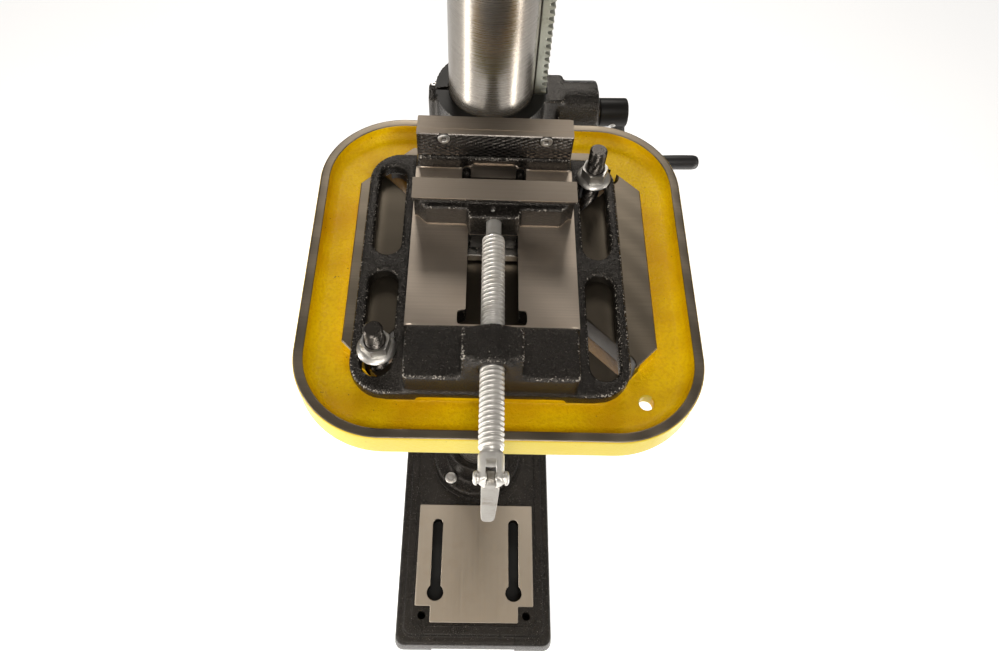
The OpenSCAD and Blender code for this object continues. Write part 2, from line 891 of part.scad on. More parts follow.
module moving_jaw() {
  color(black)
  on_vise()
  difference() {
    union() {
      // upright that leans forward to the machined top
      translate([-jaw_half, 0, 0]) rotate([90, 0, 90]) linear_extrude(jaw_w)
        polygon([[moving_face - 5, ways_z + 0.1], [moving_face - 5, jaw_top],
          [moving_face - 17, jaw_top], [moving_face - 17, jaw_top - 2],
          [moving_face - 7.5, foot_z], [moving_face - 7.5, ways_z + 0.1]]);
      // foot with a ledge, its front set back at both ends
      translate([0, 0, ways_z + 0.1]) linear_extrude(foot_z - ways_z - 0.1)
        polygon([[-50.8, moving_face - 6], [-50.8, 17], [-48.2, 16.4], [-42.8, 10.4], [42.8, 10.4],
          [48.2, 16.4], [50.8, 17], [50.8, moving_face - 6]]);
      // boss round the end of the screw
      translate([0, 0, ways_z + 0.1]) linear_extrude(foot_z + 1.7 - ways_z - 0.1)
        polygon([[-17, moving_face - 6], [-17, 9], [-15.6, 2.2], [15.6, 2.2], [17, 9],
          [17, moving_face - 6]]);
      block(-15.4, 15.4, 3, moving_face - 5, vise_base + 8.4, ways_z + 1);
    }
    rod_y(-10, 12.2, 0, screw_z, neck_r + 0.05);
    rod_z(screw_z, foot_z + 4, -1, 8.4, 1.4);
    for (x = [-33.2, 33.2]) rod_y(15.5, 21, x, 962, 2.53);
  }
}

module moving_jaw_plate() {
  color(oxide)
  on_vise()
  difference() {
    block(-jaw_half, jaw_half, moving_face - 5, moving_face, ways_z + 3, jaw_top);
    for (x = [-33.2, 33.2]) rod_y(0, 40, x, 962, 2.55);
    for (x = [-33.2, 33.2]) rod_y(moving_face - 2, moving_face + 1, x, 962, 4.3);
  }
}

module moving_plate_screws() {
  color(zinc)
  on_vise()
  for (x = [-33.2, 33.2]) {
    rod_y(15.6, moving_face - 1, x, 962, 2.5);
    rod_y(moving_face - 2, moving_face - 0.4, x, 962, 4.2);
  }
}

module jaw_keeper() {
  color(steel)
  on_vise() block(-24, 24, -2, 17, vise_base + 2.4, vise_base + 8.3);
}

module vise_screw() {
  color(zinc)
  on_vise()
  translate([0, 0, screw_z])
  difference() {
    union() {
      // neck with a groove for its pin
      rod_y(-8.4, 7, 0, 0, neck_r);
      rod_y(6.9, 9.9, 0, 0, neck_r - 1);
      rod_y(9.8, 12, 0, 0, neck_r);
      // threaded length, ring by ring
      for (i = [0 : 46])
        translate([0, -149 + i * vise_pitch, 0]) rotate([-90, 0, 0])
          rotate_extrude()
            polygon([[0, 0], [5.7, 0], [vise_screw_d / 2, 0.9],
              [vise_screw_d / 2, 1.8], [5.7, vise_pitch - 0.3], [5.7, vise_pitch + 0.01],
              [0, vise_pitch + 0.01]]);
      rod_y(-166.1, -149, 0, 0, vise_screw_d / 2);
    }
    block(-2.9, 2.9, -170, -153.6, -8, 8);
    rod_x(-10, 10, -162.3, 0, 3.03);
  }
}

module clevis_pin() {
  color(zinc)
  on_vise() {
    rod_x(-8.3, 8.3, -162.3, screw_z, 3);
    for (x = [-9.6, 7.1]) rod_x(x, x + 2.5, -162.3, screw_z, 4.6);
  }
}

module vise_handle() {
  color(zinc)
  on_vise()
  translate([0, -162.3, screw_z])
  difference() {
    union() {
      rod_x(-2.6, 2.6, 0, 0, 5);
      block(-2.6, 2.6, -2, 2, -12, 0);
      rotate([90, 0, 0]) translate([0, 0, -2]) linear_extrude(4)
        polygon([[-2.6, -8], [-5.6, -16], [-4.4, -69], [-2.6, -73], [2.6, -73],
          [4.4, -69], [5.6, -16], [2.6, -8]]);
    }
    rod_x(-5, 5, 0, 0, 3.05);
  }
}

base();
column_flange();
flange_bolts();
column();
rack_collar();
set_screws();
head_casting();
cover_pan();
cover_lid();
motor_slide();
motor();
motor_pulley();
spindle_pulley();
drive_belt();
quill();
spindle();
chuck_body();
chuck_sleeve();
chuck_jaw_a();
chuck_jaw_b();
chuck_jaw_c();
feed_hub();
feed_rod_a();
feed_rod_b();
feed_rod_c();
feed_knob_a();
feed_knob_b();
feed_knob_c();
spring_cap();
stop_arm();
stop_rod();
stop_nuts();
switch_box();
start_button();
stop_button();
rack();
bracket();
worm_shaft();
crank();
crank_screw();
crank_grip();
pinion();
column_lock();
ear_screw();
tilt_bolt();
table_arm();
table_lock();
table();
vise_body();
vise_studs();
vise_nuts();
fixed_jaw_plate();
fixed_plate_screws();
moving_jaw();
moving_jaw_plate();
moving_plate_screws();
jaw_keeper();
vise_screw();
clevis_pin();
vise_handle();
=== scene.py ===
"""Looks of a floor-standing drill press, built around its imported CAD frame.

Everything is in metres in the frame's own axes: +Z up the column, -Y towards the operator, the
column's axis at x = y = 0 and the floor at z = 0.
"""

import logging
import math
from dataclasses import dataclass, field
from enum import Enum
from typing import Callable, Sequence

import bmesh
import bpy
import numpy as np
from mathutils import Matrix, Vector


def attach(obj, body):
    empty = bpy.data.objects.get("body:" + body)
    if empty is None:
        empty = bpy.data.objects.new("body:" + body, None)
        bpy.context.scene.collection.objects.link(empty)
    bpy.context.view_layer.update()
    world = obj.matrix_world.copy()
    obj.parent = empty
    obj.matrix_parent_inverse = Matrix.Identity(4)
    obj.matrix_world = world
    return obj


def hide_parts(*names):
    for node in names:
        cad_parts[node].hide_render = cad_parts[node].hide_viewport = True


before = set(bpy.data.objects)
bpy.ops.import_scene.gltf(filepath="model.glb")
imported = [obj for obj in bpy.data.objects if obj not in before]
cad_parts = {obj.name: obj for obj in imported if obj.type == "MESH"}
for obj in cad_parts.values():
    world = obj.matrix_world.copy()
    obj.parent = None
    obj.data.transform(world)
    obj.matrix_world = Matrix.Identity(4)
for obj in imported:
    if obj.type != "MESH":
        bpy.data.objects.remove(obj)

LOG = logging.getLogger("drill_press")
MM = 0.001
ARM_SWING = math.radians(2.14)
SPINDLE_Y = -199.5 * MM
MOTOR_Y = 175 * MM
FEED_Y, FEED_Z = -164.5 * MM, 1252 * MM
TABLE_CENTRE = (-SPINDLE_Y * math.sin(ARM_SWING), SPINDLE_Y * math.cos(ARM_SWING))
TABLE_Z = 917 * MM
VISE_X, VISE_Y = 1.7 * MM, -199.4 * MM
WAYS_Z = TABLE_Z + 24.3 * MM
SCREW_Z = TABLE_Z + 35.3 * MM
JAW_TOP = 970 * MM
MASK = "machined"
# The vertex mask of painted highlights on convex cast edges, with the gain and start that make it from
# the edges' depth.
GLINT_EDGE = "painted_edge_glint"
GLINT_GAIN, GLINT_START = 14, 0.5
# Half sizes of the painted shade under the vise on the table's metal: full inside the first, none outside
# the second.
VISE_SHADE_INNER, VISE_SHADE_OUTER = (0.070, 0.090), (0.082, 0.098)

Array = np.ndarray


# Shader graphs


class Wire:
    """One socket of a shader graph, on which sums and products add Math nodes."""

    def __init__(self, graph: "Graph", socket: bpy.types.NodeSocket) -> None:
        """Wraps an output socket.

        Args:
            graph: the graph that the socket belongs to.
            socket: the output socket.
        """
        self.graph = graph
        self.socket = socket

    def _math(self, operation: str, first: "Wire | float", second: "Wire | float") -> "Wire":
        """Adds one Math node and returns its output."""
        return self.graph.node("ShaderNodeMath", {"operation": operation}, {0: first, 1: second})

    def __add__(self, other: "Wire | float") -> "Wire":
        """self + other."""
        return self._math("ADD", self, other)

    __radd__ = __add__

    def __sub__(self, other: "Wire | float") -> "Wire":
        """self - other."""
        return self._math("SUBTRACT", self, other)

    def __rsub__(self, other: float) -> "Wire":
        """other - self."""
        return self._math("SUBTRACT", other, self)

    def __mul__(self, other: "Wire | float") -> "Wire":
        """self * other."""
        return self._math("MULTIPLY", self, other)

    __rmul__ = __mul__

    def sine(self) -> "Wire":
        """The sine of self."""
        return self._math("SINE", self, 0.0)

    def smooth(self, low: float, high: float) -> "Wire":
        """A smooth step of self from 0 at low to 1 at high."""
        return self.graph.node(
            "ShaderNodeMapRange", {"interpolation_type": "SMOOTHSTEP"},
            {"Value": self, "From Min": low, "From Max": high})


class Graph:
    """The node graph of one material."""

    def __init__(self, name: str) -> None:
        """Starts an empty material.

        Args:
            name: the material's name.
        """
        self.material = bpy.data.materials.new(name)
        self.material.use_nodes = True
        self.tree = self.material.node_tree
        self.tree.nodes.clear()

    def node(self, kind: str, settings: dict | None = None, inputs: dict | None = None,
             output: int | str = 0) -> Wire:
        """Adds a node.

        Args:
            kind: the node's type.
            settings: its properties, set before its sockets; "stops" fills a colour ramp.
            inputs: values or wires by socket name or number.
            output: the output socket to return.

        Returns:
            The chosen output.
        """
        made = self.tree.nodes.new(kind)
        for key, value in (settings or {}).items():
            if key == "stops":
                self._stops(made.color_ramp, value)
            else:
                setattr(made, key, value)
        for key, value in (inputs or {}).items():
            if isinstance(value, Wire):
                self.tree.links.new(value.socket, made.inputs[key])
            else:
                made.inputs[key].default_value = value
        return Wire(self, made.outputs[output])

    @staticmethod
    def _stops(ramp: bpy.types.ColorRamp, stops: Sequence[tuple[float, tuple]]) -> None:
        """Fills a ramp with (place, colour) stops."""
        while len(ramp.elements) < len(stops):
            ramp.elements.new(0.5)
        for element, (place, colour) in zip(ramp.elements, stops):
            element.position = place
            element.color = (*colour, 1.0)

    def place(self, scale: Sequence[float] = (1, 1, 1), turn: Sequence[float] = (0, 0, 0),
              shift: Sequence[float] = (0, 0, 0)) -> Wire:
        """Object coordinates, stretched, turned and shifted by a Mapping node."""
        raw = self.node("ShaderNodeTexCoord", output="Object")
        return self.node("ShaderNodeMapping", {},
                         {"Vector": raw, "Scale": scale, "Rotation": turn, "Location": shift})

    def noise(self, scale: float, detail: float = 2.0, rough: float = 0.5,
              at: Wire | None = None) -> Wire:
        """A noise value from 0 to 1, with its scale in waves a metre."""
        return self.node("ShaderNodeTexNoise", {},
                         {"Vector": at or self.place(), "Scale": scale, "Detail": detail,
                          "Roughness": rough})

    def outside(self, centre: tuple[float, float], inner: tuple[float, float],
                outer: tuple[float, float]) -> Wire:
        """A mask that is 0 within a rectangle around centre and rises to 1 outside it.

        Args:
            centre: x and y of the middle.
            inner: half width and half depth where the mask is still 0.
            outer: half width and half depth from where it is 1.

        Returns:
            The mask.
        """
        away = self.node("ShaderNodeVectorMath", {"operation": "ABSOLUTE"},
                         {0: self.place(shift=(-centre[0], -centre[1], 0.0))})
        across = self.node("ShaderNodeSeparateXYZ", {}, {0: away})
        along = Wire(self, across.socket.node.outputs[1])
        return self.node("ShaderNodeMath", {"operation": "MAXIMUM"},
                         {0: across.smooth(inner[0], outer[0]), 1: along.smooth(inner[1], outer[1])})

    def speckle(self, scale: float, low: float, high: float) -> Wire:
        """Dots: 1 near the cell centres of a Voronoi pattern, 0 elsewhere."""
        near = self.node("ShaderNodeTexVoronoi", {}, {"Vector": self.place(), "Scale": scale})
        return 1.0 - near.smooth(low, high)

    def blend(self, mask: Wire | float, first: Wire | Sequence[float],
              second: Wire | Sequence[float]) -> Wire:
        """Mixes two colours.

        Args:
            mask: 0 for the first colour, 1 for the second.
            first: a colour or a wire.
            second: a colour or a wire.

        Returns:
            The mixed colour.
        """
        def filled(colour: Wire | Sequence[float]) -> Wire | tuple:
            """Adds the alpha to a plain colour."""
            return colour if isinstance(colour, Wire) else (*colour, 1.0)
        return self.node("ShaderNodeMix", {"data_type": "RGBA"},
                         {0: mask, 6: filled(first), 7: filled(second)}, 2)

    def bump(self, height: Wire, distance: float, strength: float = 1.0) -> Wire:
        """A normal raised by height, which is 1 at the given distance in metres."""
        return self.node("ShaderNodeBump", {},
                         {"Height": height, "Distance": distance, "Strength": strength})

    def shader(self, **inputs: object) -> Wire:
        """A Principled shader; underscores in the names stand for spaces."""
        return self.node("ShaderNodeBsdfPrincipled", {},
                         {key.replace("_", " "): value for key, value in inputs.items()})

    def close(self, surface: Wire) -> bpy.types.Material:
        """Links the output node and returns the material."""
        end = self.tree.nodes.new("ShaderNodeOutputMaterial")
        self.tree.links.new(surface.socket, end.inputs["Surface"])
        return self.material


class Lay(Enum):
    """The way that the marks of a cutter run over a machined face."""

    ALONG_X = (6.0, 900.0, 900.0)
    ALONG_Y = (900.0, 6.0, 900.0)


class Finish:
    """A finish that can be made into a material of its own."""

    def surface(self, graph: Graph) -> Wire:
        """Adds the finish's shader.

        Args:
            graph: the graph to add it to.

        Returns:
            The shader's output.
        """
        raise NotImplementedError

    def make(self, name: str) -> bpy.types.Material:
        """The finish as a material of its own."""
        graph = Graph(name)
        return graph.close(self.surface(graph))


@dataclass(frozen=True)
class Machined(Finish):
    """Ground or milled iron, warm grey, with fine marks of the cutter, and, when asked, painted shade
    where the vise stands over it.
    """

    colour: tuple[float, float, float] = (0.36, 0.325, 0.285)
    rough: float = 0.42
    lay: Lay = Lay.ALONG_X
    arcs: float = 0.0
    contrast: float = 0.10
    vise_shade_painted: bool = False

    def surface(self, graph: Graph) -> Wire:
        """Adds the shader.

        Args:
            graph: the graph to add it to.

        Returns:
            The shader's output.
        """
        marks = graph.noise(1.0, 3.0, 0.6, graph.place(self.lay.value))
        cloud = graph.noise(28.0, 3.0)
        if self.arcs > 0:
            far = graph.place((1, 1, 1), shift=(0.10, 0.36, 0.0))
            length = graph.node("ShaderNodeVectorMath", {"operation": "LENGTH"}, {0: far}, "Value")
            marks = marks * 0.6 + (length * self.arcs).sine() * 0.16 + 0.12
        dull = graph.blend(marks.smooth(0.25, 0.75),
                           tuple(c * (1 - self.contrast) for c in self.colour),
                           tuple(min(1.0, c * (1 + self.contrast)) for c in self.colour))
        stained = graph.blend(cloud.smooth(0.45, 0.8) * 0.35, dull,
                              tuple(c * t for c, t in zip(self.colour, (0.82, 0.76, 0.68))))
        # Painted shade: the metal is darker under the vise, as if in its shadow.
        if self.vise_shade_painted:
            beyond_vise_shade = graph.outside((VISE_X, VISE_Y - 0.004), VISE_SHADE_INNER, VISE_SHADE_OUTER)
            stained = graph.blend(beyond_vise_shade, tuple(c * 0.42 for c in self.colour), stained)
        return graph.shader(
            Base_Color=stained, Metallic=1.0,
            Roughness=(marks - 0.5) * 0.22 + (cloud - 0.5) * 0.12 + self.rough,
            Normal=graph.bump(marks, 0.00003, 0.7))


@dataclass(frozen=True)
class Enamel(Finish):
    """Glossy paint over a rough casting, bare where the mask attribute is 1; without specks it has
    painted highlights on its grain and along convex edges.
    """

    colour: tuple[float, float, float] = (0.006, 0.0054, 0.0048)
    shade: tuple[float, float, float] = (0.011, 0.0095, 0.0082)
    rough: float = 0.20
    grain: float = 0.0007
    grain_scale: float = 820.0
    gloss: float = 0.42
    # The next three fields set painted highlights: a bias that lets more glints show on the grain, the
    # lighter tone of painted sheen on the grain's peaks, and the colour of the glints.
    extra_glints: float = 0.0
    peak_sheen: tuple[float, float, float] = (0.019, 0.017, 0.015)
    glint_colour: tuple[float, float, float] = (0.42, 0.39, 0.35)
    specks: tuple[float, float, float] | None = None
    bare: Machined | None = None

    def surface(self, graph: Graph) -> Wire:
        """Adds the paint, with bare metal where the mask says so.

        Args:
            graph: the graph to add it to.

        Returns:
            The shader's output.
        """
        coarse = graph.noise(self.grain_scale, 2.5, 0.55)
        fine = graph.noise(self.grain_scale * 3.1, 1.0)
        cloud = graph.noise(22.0, 3.0)
        colour = graph.blend(cloud.smooth(0.35, 0.75), self.colour, self.shade)
        if self.specks is not None:
            colour = graph.blend(coarse.smooth(0.42, 0.66) * 0.45, colour, self.shade)
            dirt = graph.speckle(230.0, 0.05, 0.16) * graph.noise(60.0).smooth(0.52, 0.62)
            colour = graph.blend(dirt * 0.75, colour, self.specks)
        height = coarse * 0.75 + fine * 0.25
        if self.specks is None:
            # Painted highlights: the grain's peaks lighter as sheen, and glints on the peaks and along
            # convex edges.
            edge_glint = graph.node("ShaderNodeAttribute", {"attribute_name": GLINT_EDGE}, output="Fac")
            colour = graph.blend(coarse.smooth(0.52, 0.66), colour, self.peak_sheen)
            colour = graph.blend((coarse + edge_glint * 0.25 + self.extra_glints).smooth(0.71, 0.83) * 0.85,
                                 colour, self.glint_colour)
        paint = graph.shader(
            Base_Color=colour, Roughness=(cloud - 0.5) * 0.12 + self.rough,
            Specular_IOR_Level=self.gloss, Specular_Tint=(1.0, 0.94, 0.88, 1.0),
            Normal=graph.bump(height, self.grain))
        if self.bare is None:
            return paint
        mask = graph.node("ShaderNodeAttribute", {"attribute_name": MASK}, output="Fac")
        shows = (mask + (graph.noise(420.0) - 0.5) * 0.25).smooth(0.42, 0.58)
        return graph.node("ShaderNodeMixShader", {},
                          {0: shows, 1: paint, 2: self.bare.surface(graph)})


@dataclass(frozen=True)
class Plated(Finish):
    """Bright plated or dark oxide steel with small stains."""

    colour: tuple[float, float, float] = (0.70, 0.69, 0.66)
    stain: tuple[float, float, float] = (0.34, 0.30, 0.24)
    rough: float = 0.26
    stained: float = 0.45
    grain: float = 0.00006
    metal: float = 1.0

    def surface(self, graph: Graph) -> Wire:
        """Adds the metal's shader, as Finish.surface says."""
        cloud = graph.noise(90.0, 4.0, 0.6)
        fine = graph.noise(1500.0, 2.0)
        colour = graph.blend(cloud.smooth(0.48, 0.78) * self.stained, self.colour, self.stain)
        return graph.shader(
            Base_Color=colour, Metallic=self.metal, Normal=graph.bump(fine, self.grain),
            Roughness=(cloud - 0.5) * 0.25 + (fine - 0.5) * 0.1 + self.rough)


@dataclass(frozen=True)
class Moulded(Finish):
    """Plastic or rubber with a faint moulded grain."""

    colour: tuple[float, float, float] = (0.014, 0.014, 0.015)
    rough: float = 0.38
    grain: float = 0.00005
    gloss: float = 0.5

    def surface(self, graph: Graph) -> Wire:
        """Adds the plastic's shader, as Finish.surface says."""
        fine = graph.noise(900.0, 2.0)
        cloud = graph.noise(40.0, 2.0)
        colour = graph.blend(cloud, tuple(c * 0.85 for c in self.colour),
                             tuple(c * 1.25 for c in self.colour))
        return graph.shader(
            Base_Color=colour, Roughness=(cloud - 0.5) * 0.12 + self.rough,
            Specular_IOR_Level=self.gloss, Normal=graph.bump(fine, self.grain))


@dataclass(frozen=True)
class Turned(Finish):
    """The column: drawn and ground tube with fine rings and faint brown stains."""

    colour: tuple[float, float, float] = (0.27, 0.25, 0.225)
    stain: tuple[float, float, float] = (0.17, 0.135, 0.10)
    rough: float = 0.27

    def surface(self, graph: Graph) -> Wire:
        """Adds the tube's shader, as Finish.surface says."""
        rings = graph.noise(1.0, 3.0, 0.7, graph.place((9.0, 9.0, 2600.0)))
        cloud = graph.noise(1.0, 3.0, 0.55, graph.place((46.0, 46.0, 7.0)))
        grain = graph.noise(900.0, 2.0, 0.6)
        bright = graph.blend((rings * 0.6 + grain * 0.4).smooth(0.3, 0.7),
                             tuple(c * 0.80 for c in self.colour),
                             tuple(c * 1.20 for c in self.colour))
        colour = graph.blend(cloud.smooth(0.48, 0.75) * 0.6, bright, self.stain)
        return graph.shader(
            Base_Color=colour, Metallic=0.80, Normal=graph.bump(rings, 0.00003, 0.7),
            Roughness=(rings - 0.5) * 0.1 + self.rough)


class Finishes:
    """Every material of the machine, made once."""

    def __init__(self) -> None:
        """Makes the materials."""
        ground = Machined(colour=(0.34, 0.292, 0.243), rough=0.50, contrast=0.07)
        self.ground = ground.make("ground_jaw_tops")
        self.cast = Enamel(bare=Machined(colour=(0.60, 0.52, 0.44), rough=0.44, arcs=900.0,
                                         contrast=0.10)).make("black_casting")
        # More painted glints on the base's flats, which have no edge mask.
        self.base_paint = Enamel(rough=0.24, gloss=0.26, extra_glints=0.05).make("base_casting_paint")
        self.base_metal = Machined(colour=(0.41, 0.36, 0.30), rough=0.5, lay=Lay.ALONG_Y,
                                   contrast=0.03).make("base_pad_metal")
        self.jaw = Enamel(bare=ground).make("jaw_casting")
        self.head = Enamel(rough=0.3, grain=0.0003).make("head_casting_paint")
        self.sheet = Enamel(rough=0.32, grain=0.00008, grain_scale=900.0).make("sheet_paint")
        self.satin = Moulded(colour=(0.010, 0.0095, 0.009), rough=0.42, gloss=0.16
                             ).make("satin_black")
        self.yellow = Enamel(
            colour=(0.80, 0.535, 0.0), shade=(0.62, 0.335, 0.0), rough=0.36, grain=0.0008,
            grain_scale=520.0, gloss=0.22, specks=(0.14, 0.075, 0.01)).make("yellow_enamel")
        # A paler copy of the yellow paint, as painted light on the rim's outer wall where the lamps fall
        # on it.
        self.lit_rim_yellow = Enamel(
            colour=(0.62, 0.51, 0.062), shade=(0.59, 0.47, 0.045), rough=0.36, grain=0.0003,
            grain_scale=520.0, gloss=0.22, specks=(0.30, 0.19, 0.03)).make("painted_light_rim_yellow_enamel")
        # A darker copy of the yellow paint, as painted shade deep in the slots.
        self.painted_shade_yellow = Enamel(
            colour=(0.24, 0.115, 0.0), shade=(0.13, 0.06, 0.0), rough=0.4, grain=0.0004,
            grain_scale=520.0, gloss=0.15, specks=(0.06, 0.03, 0.01)).make("shaded_yellow_enamel")
        self.table_metal = Machined(colour=(0.235, 0.20, 0.155), rough=0.44, arcs=1300.0,
                                    contrast=0.12, vise_shade_painted=True).make("table_metal")
        self.zinc = Plated(colour=(0.62, 0.61, 0.59), rough=0.38).make("bright_zinc")
        self.bright = Plated(colour=(0.66, 0.65, 0.625), rough=0.36, stained=0.5, metal=0.72
                             ).make("bright_screw")
        self.dull = Plated(colour=(0.34, 0.325, 0.30), stain=(0.17, 0.14, 0.10), rough=0.46,
                           stained=0.8, grain=0.0003).make("dull_zinc")
        self.oxide = Plated(colour=(0.055, 0.050, 0.045), stain=(0.11, 0.095, 0.08), rough=0.36,
                            stained=0.4).make("black_oxide")
        self.plate = Plated(colour=(0.10, 0.092, 0.085), stain=(0.05, 0.045, 0.04), rough=0.28
                            ).make("serrated_plate")
        self.rack = Plated(colour=(0.44, 0.45, 0.40), stain=(0.20, 0.20, 0.16), rough=0.5,
                           stained=0.9, grain=0.0002).make("phosphated_rack")
        self.column = Turned().make("turned_column")
        self.steel = Plated(colour=(0.56, 0.545, 0.52), rough=0.3).make("ground_steel")
        self.alloy = Plated(colour=(0.62, 0.62, 0.62), stain=(0.40, 0.40, 0.39), rough=0.34
                            ).make("cast_alloy")
        self.plastic = Moulded().make("black_plastic")
        self.rubber = Moulded(colour=(0.018, 0.018, 0.018), rough=0.6).make("belt_rubber")
        self.green = Moulded(colour=(0.015, 0.22, 0.06), rough=0.3).make("green_key")
        self.red = Moulded(colour=(0.50, 0.012, 0.012), rough=0.3).make("red_key")


# Surfaces


def turned_about(grid: Array, angle: float) -> Array:
    """Turns points about the column's axis.

    Args:
        grid: points, with x, y, z last.
        angle: the angle in radians.

    Returns:
        The turned points.
    """
    turn = np.array([[math.cos(angle), -math.sin(angle), 0],
                     [math.sin(angle), math.cos(angle), 0], [0, 0, 1]])
    return grid @ turn.T


def corner_curve(before: Array, here: Array, after: Array, radius: float, steps: int,
                 share: float = 0.5) -> Array:
    """The curve that rounds a corner P, from radius before it to radius after it.

    It is quadratic, B(t) = (1-t)^2 A + 2t(1-t) P + t^2 C.

    Args:
        before: the point before the corner.
        here: the corner.
        after: the point after the corner.
        radius: how far the curve's ends A and C are from the corner.
        steps: steps on the curve.
        share: the largest share of an edge that the curve takes up.

    Returns:
        The points of the curve.
    """
    back, ahead = before - here, after - here
    start = here + back * min(share, radius / max(1e-9, np.linalg.norm(back)))
    end = here + ahead * min(share, radius / max(1e-9, np.linalg.norm(ahead)))
    t = np.linspace(0, 1, steps + 1)[:, None]
    return (1 - t) ** 2 * start + 2 * t * (1 - t) * here + t ** 2 * end


def softened(profile: Sequence[tuple[float, float, float]], steps: int = 5) -> Array:
    """Rounds those corners of an open profile that have a radius.

    Args:
        profile: (across, along, radius) of each corner; the radius of the ends isn't used.
        steps: points on each rounded corner.

    Returns:
        The points, as rows of (across, along).
    """
    corners = np.array([p[:2] for p in profile], dtype=float)
    rows = [corners[:1]]
    for before, here, after, radius in zip(corners, corners[1:], corners[2:],
                                           [p[2] for p in profile[1:-1]]):
        rows.append(corner_curve(before, here, after, radius, steps) if radius > 0 else here[None])
    rows.append(corners[-1:])
    return np.concatenate(rows)


def rounded_corners(corners: Array, radius: float, steps: int) -> Array:
    """Rounds all corners of a closed outline.

    Args:
        corners: the outline, as rows of (x, y).
        radius: how far from its corner each curve starts and ends.
        steps: steps on each curve, the same for all.

    Returns:
        The rounded outline.
    """
    return np.concatenate([
        corner_curve(before, here, after, radius, steps, 0.45)
        for before, here, after in zip(np.roll(corners, 1, 0), corners, np.roll(corners, -1, 0))])


def outline(half_x: float, half_y: float, radius: float, arc: int = 16,
            centre: tuple[float, float] = (0.0, 0.0), straight: int = 1) -> Array:
    """A rounded rectangle as one ring of points, anticlockwise from the +X side.

    Each corner is radius * (cos a, sin a) about its centre, with a over a quarter turn.

    Args:
        half_x: half of the width.
        half_y: half of the depth.
        radius: the corner radius.
        arc: steps in each corner.
        centre: the middle of the rectangle.
        straight: steps on each straight side.

    Returns:
        The ring, as rows of (x, y).
    """
    radius = min(radius, half_x, half_y)
    turn = np.linspace(0, math.pi / 2, arc + 1)
    rows = []
    for quarter, (sx, sy) in enumerate(((1, 1), (-1, 1), (-1, -1), (1, -1))):
        a = turn + quarter * math.pi / 2
        middle = np.array([sx * (half_x - radius), sy * (half_y - radius)])
        rows.append(middle + radius * np.stack([np.cos(a), np.sin(a)], axis=-1))
    ring = []
    for corner, following in zip(rows, rows[1:] + rows[:1]):
        ring.append(corner)
        share = np.linspace(0, 1, straight + 1)[1:-1, None]
        ring.append(corner[-1] + share * (following[0] - corner[-1]))
    return np.concatenate(ring) + np.array(centre)


def level(ring: Array, z: float | Array) -> Array:
    """Puts a flat ring at height z."""
    return np.concatenate([ring, np.broadcast_to(z, (len(ring),))[:, None]], axis=1)


def resized(ring: Array, amount: float) -> Array:
    """Moves every point of a ring outward, along the mean normal of its two edges.

    Args:
        ring: the ring, anticlockwise, as rows of (x, y).
        amount: the distance.

    Returns:
        The wider ring.
    """
    edge = np.roll(ring, -1, axis=0) - ring
    length = np.linalg.norm(edge, axis=1, keepdims=True)
    edge = edge / np.maximum(length, 1e-9)
    normal = np.stack([edge[:, 1], -edge[:, 0]], axis=1)
    both = normal + np.roll(normal, 1, axis=0)
    scale = np.sum(both * both, axis=1, keepdims=True) / 2
    return ring + amount * both / np.maximum(scale, 0.35)


@dataclass(frozen=True)
class Axis:
    """A line in space on which turned pieces are built."""

    origin: tuple[float, float, float]
    along: tuple[float, float, float] = (0.0, 0.0, 1.0)

    def basis(self) -> tuple[Array, Array, Array]:
        """Works out the line's own axes.

        Returns:
            Two unit vectors across the line, and the one along it.
        """
        along = np.array(self.along, dtype=float)
        along /= np.linalg.norm(along)
        first = np.cross(along, (0.0, 0.0, 1.0))
        if np.linalg.norm(first) < 1e-6:
            first = np.array([1.0, 0.0, 0.0])
        first /= np.linalg.norm(first)
        return first, np.cross(along, first), along

    def turned(self, profile: Array, segments: int = 64,
               shape: Callable[[Array, Array], Array] | None = None) -> Array:
        """Revolves a profile.

        The point at angle a is origin + h along + r (cos a first + sin a second), where (r, h) is
        a row of the profile and shape may change r.

        Args:
            profile: rows of (radius, height).
            segments: columns round the axis.
            shape: gives the radius from the rows' (radius, height) and the columns' angle.

        Returns:
            The grid of points; its columns close on themselves.
        """
        first, second, along = self.basis()
        angle = np.linspace(0, 2 * math.pi, segments, endpoint=False)
        radius = np.repeat(profile[:, :1], segments, axis=1)
        if shape is not None:
            radius = shape(profile, angle)
        height = profile[:, 1][:, None, None]
        across = np.cos(angle)[:, None] * first + np.sin(angle)[:, None] * second
        return np.array(self.origin) + height * along + radius[..., None] * across[None]


COLUMN_AXIS = Axis((0.0, 0.0, 0.0))


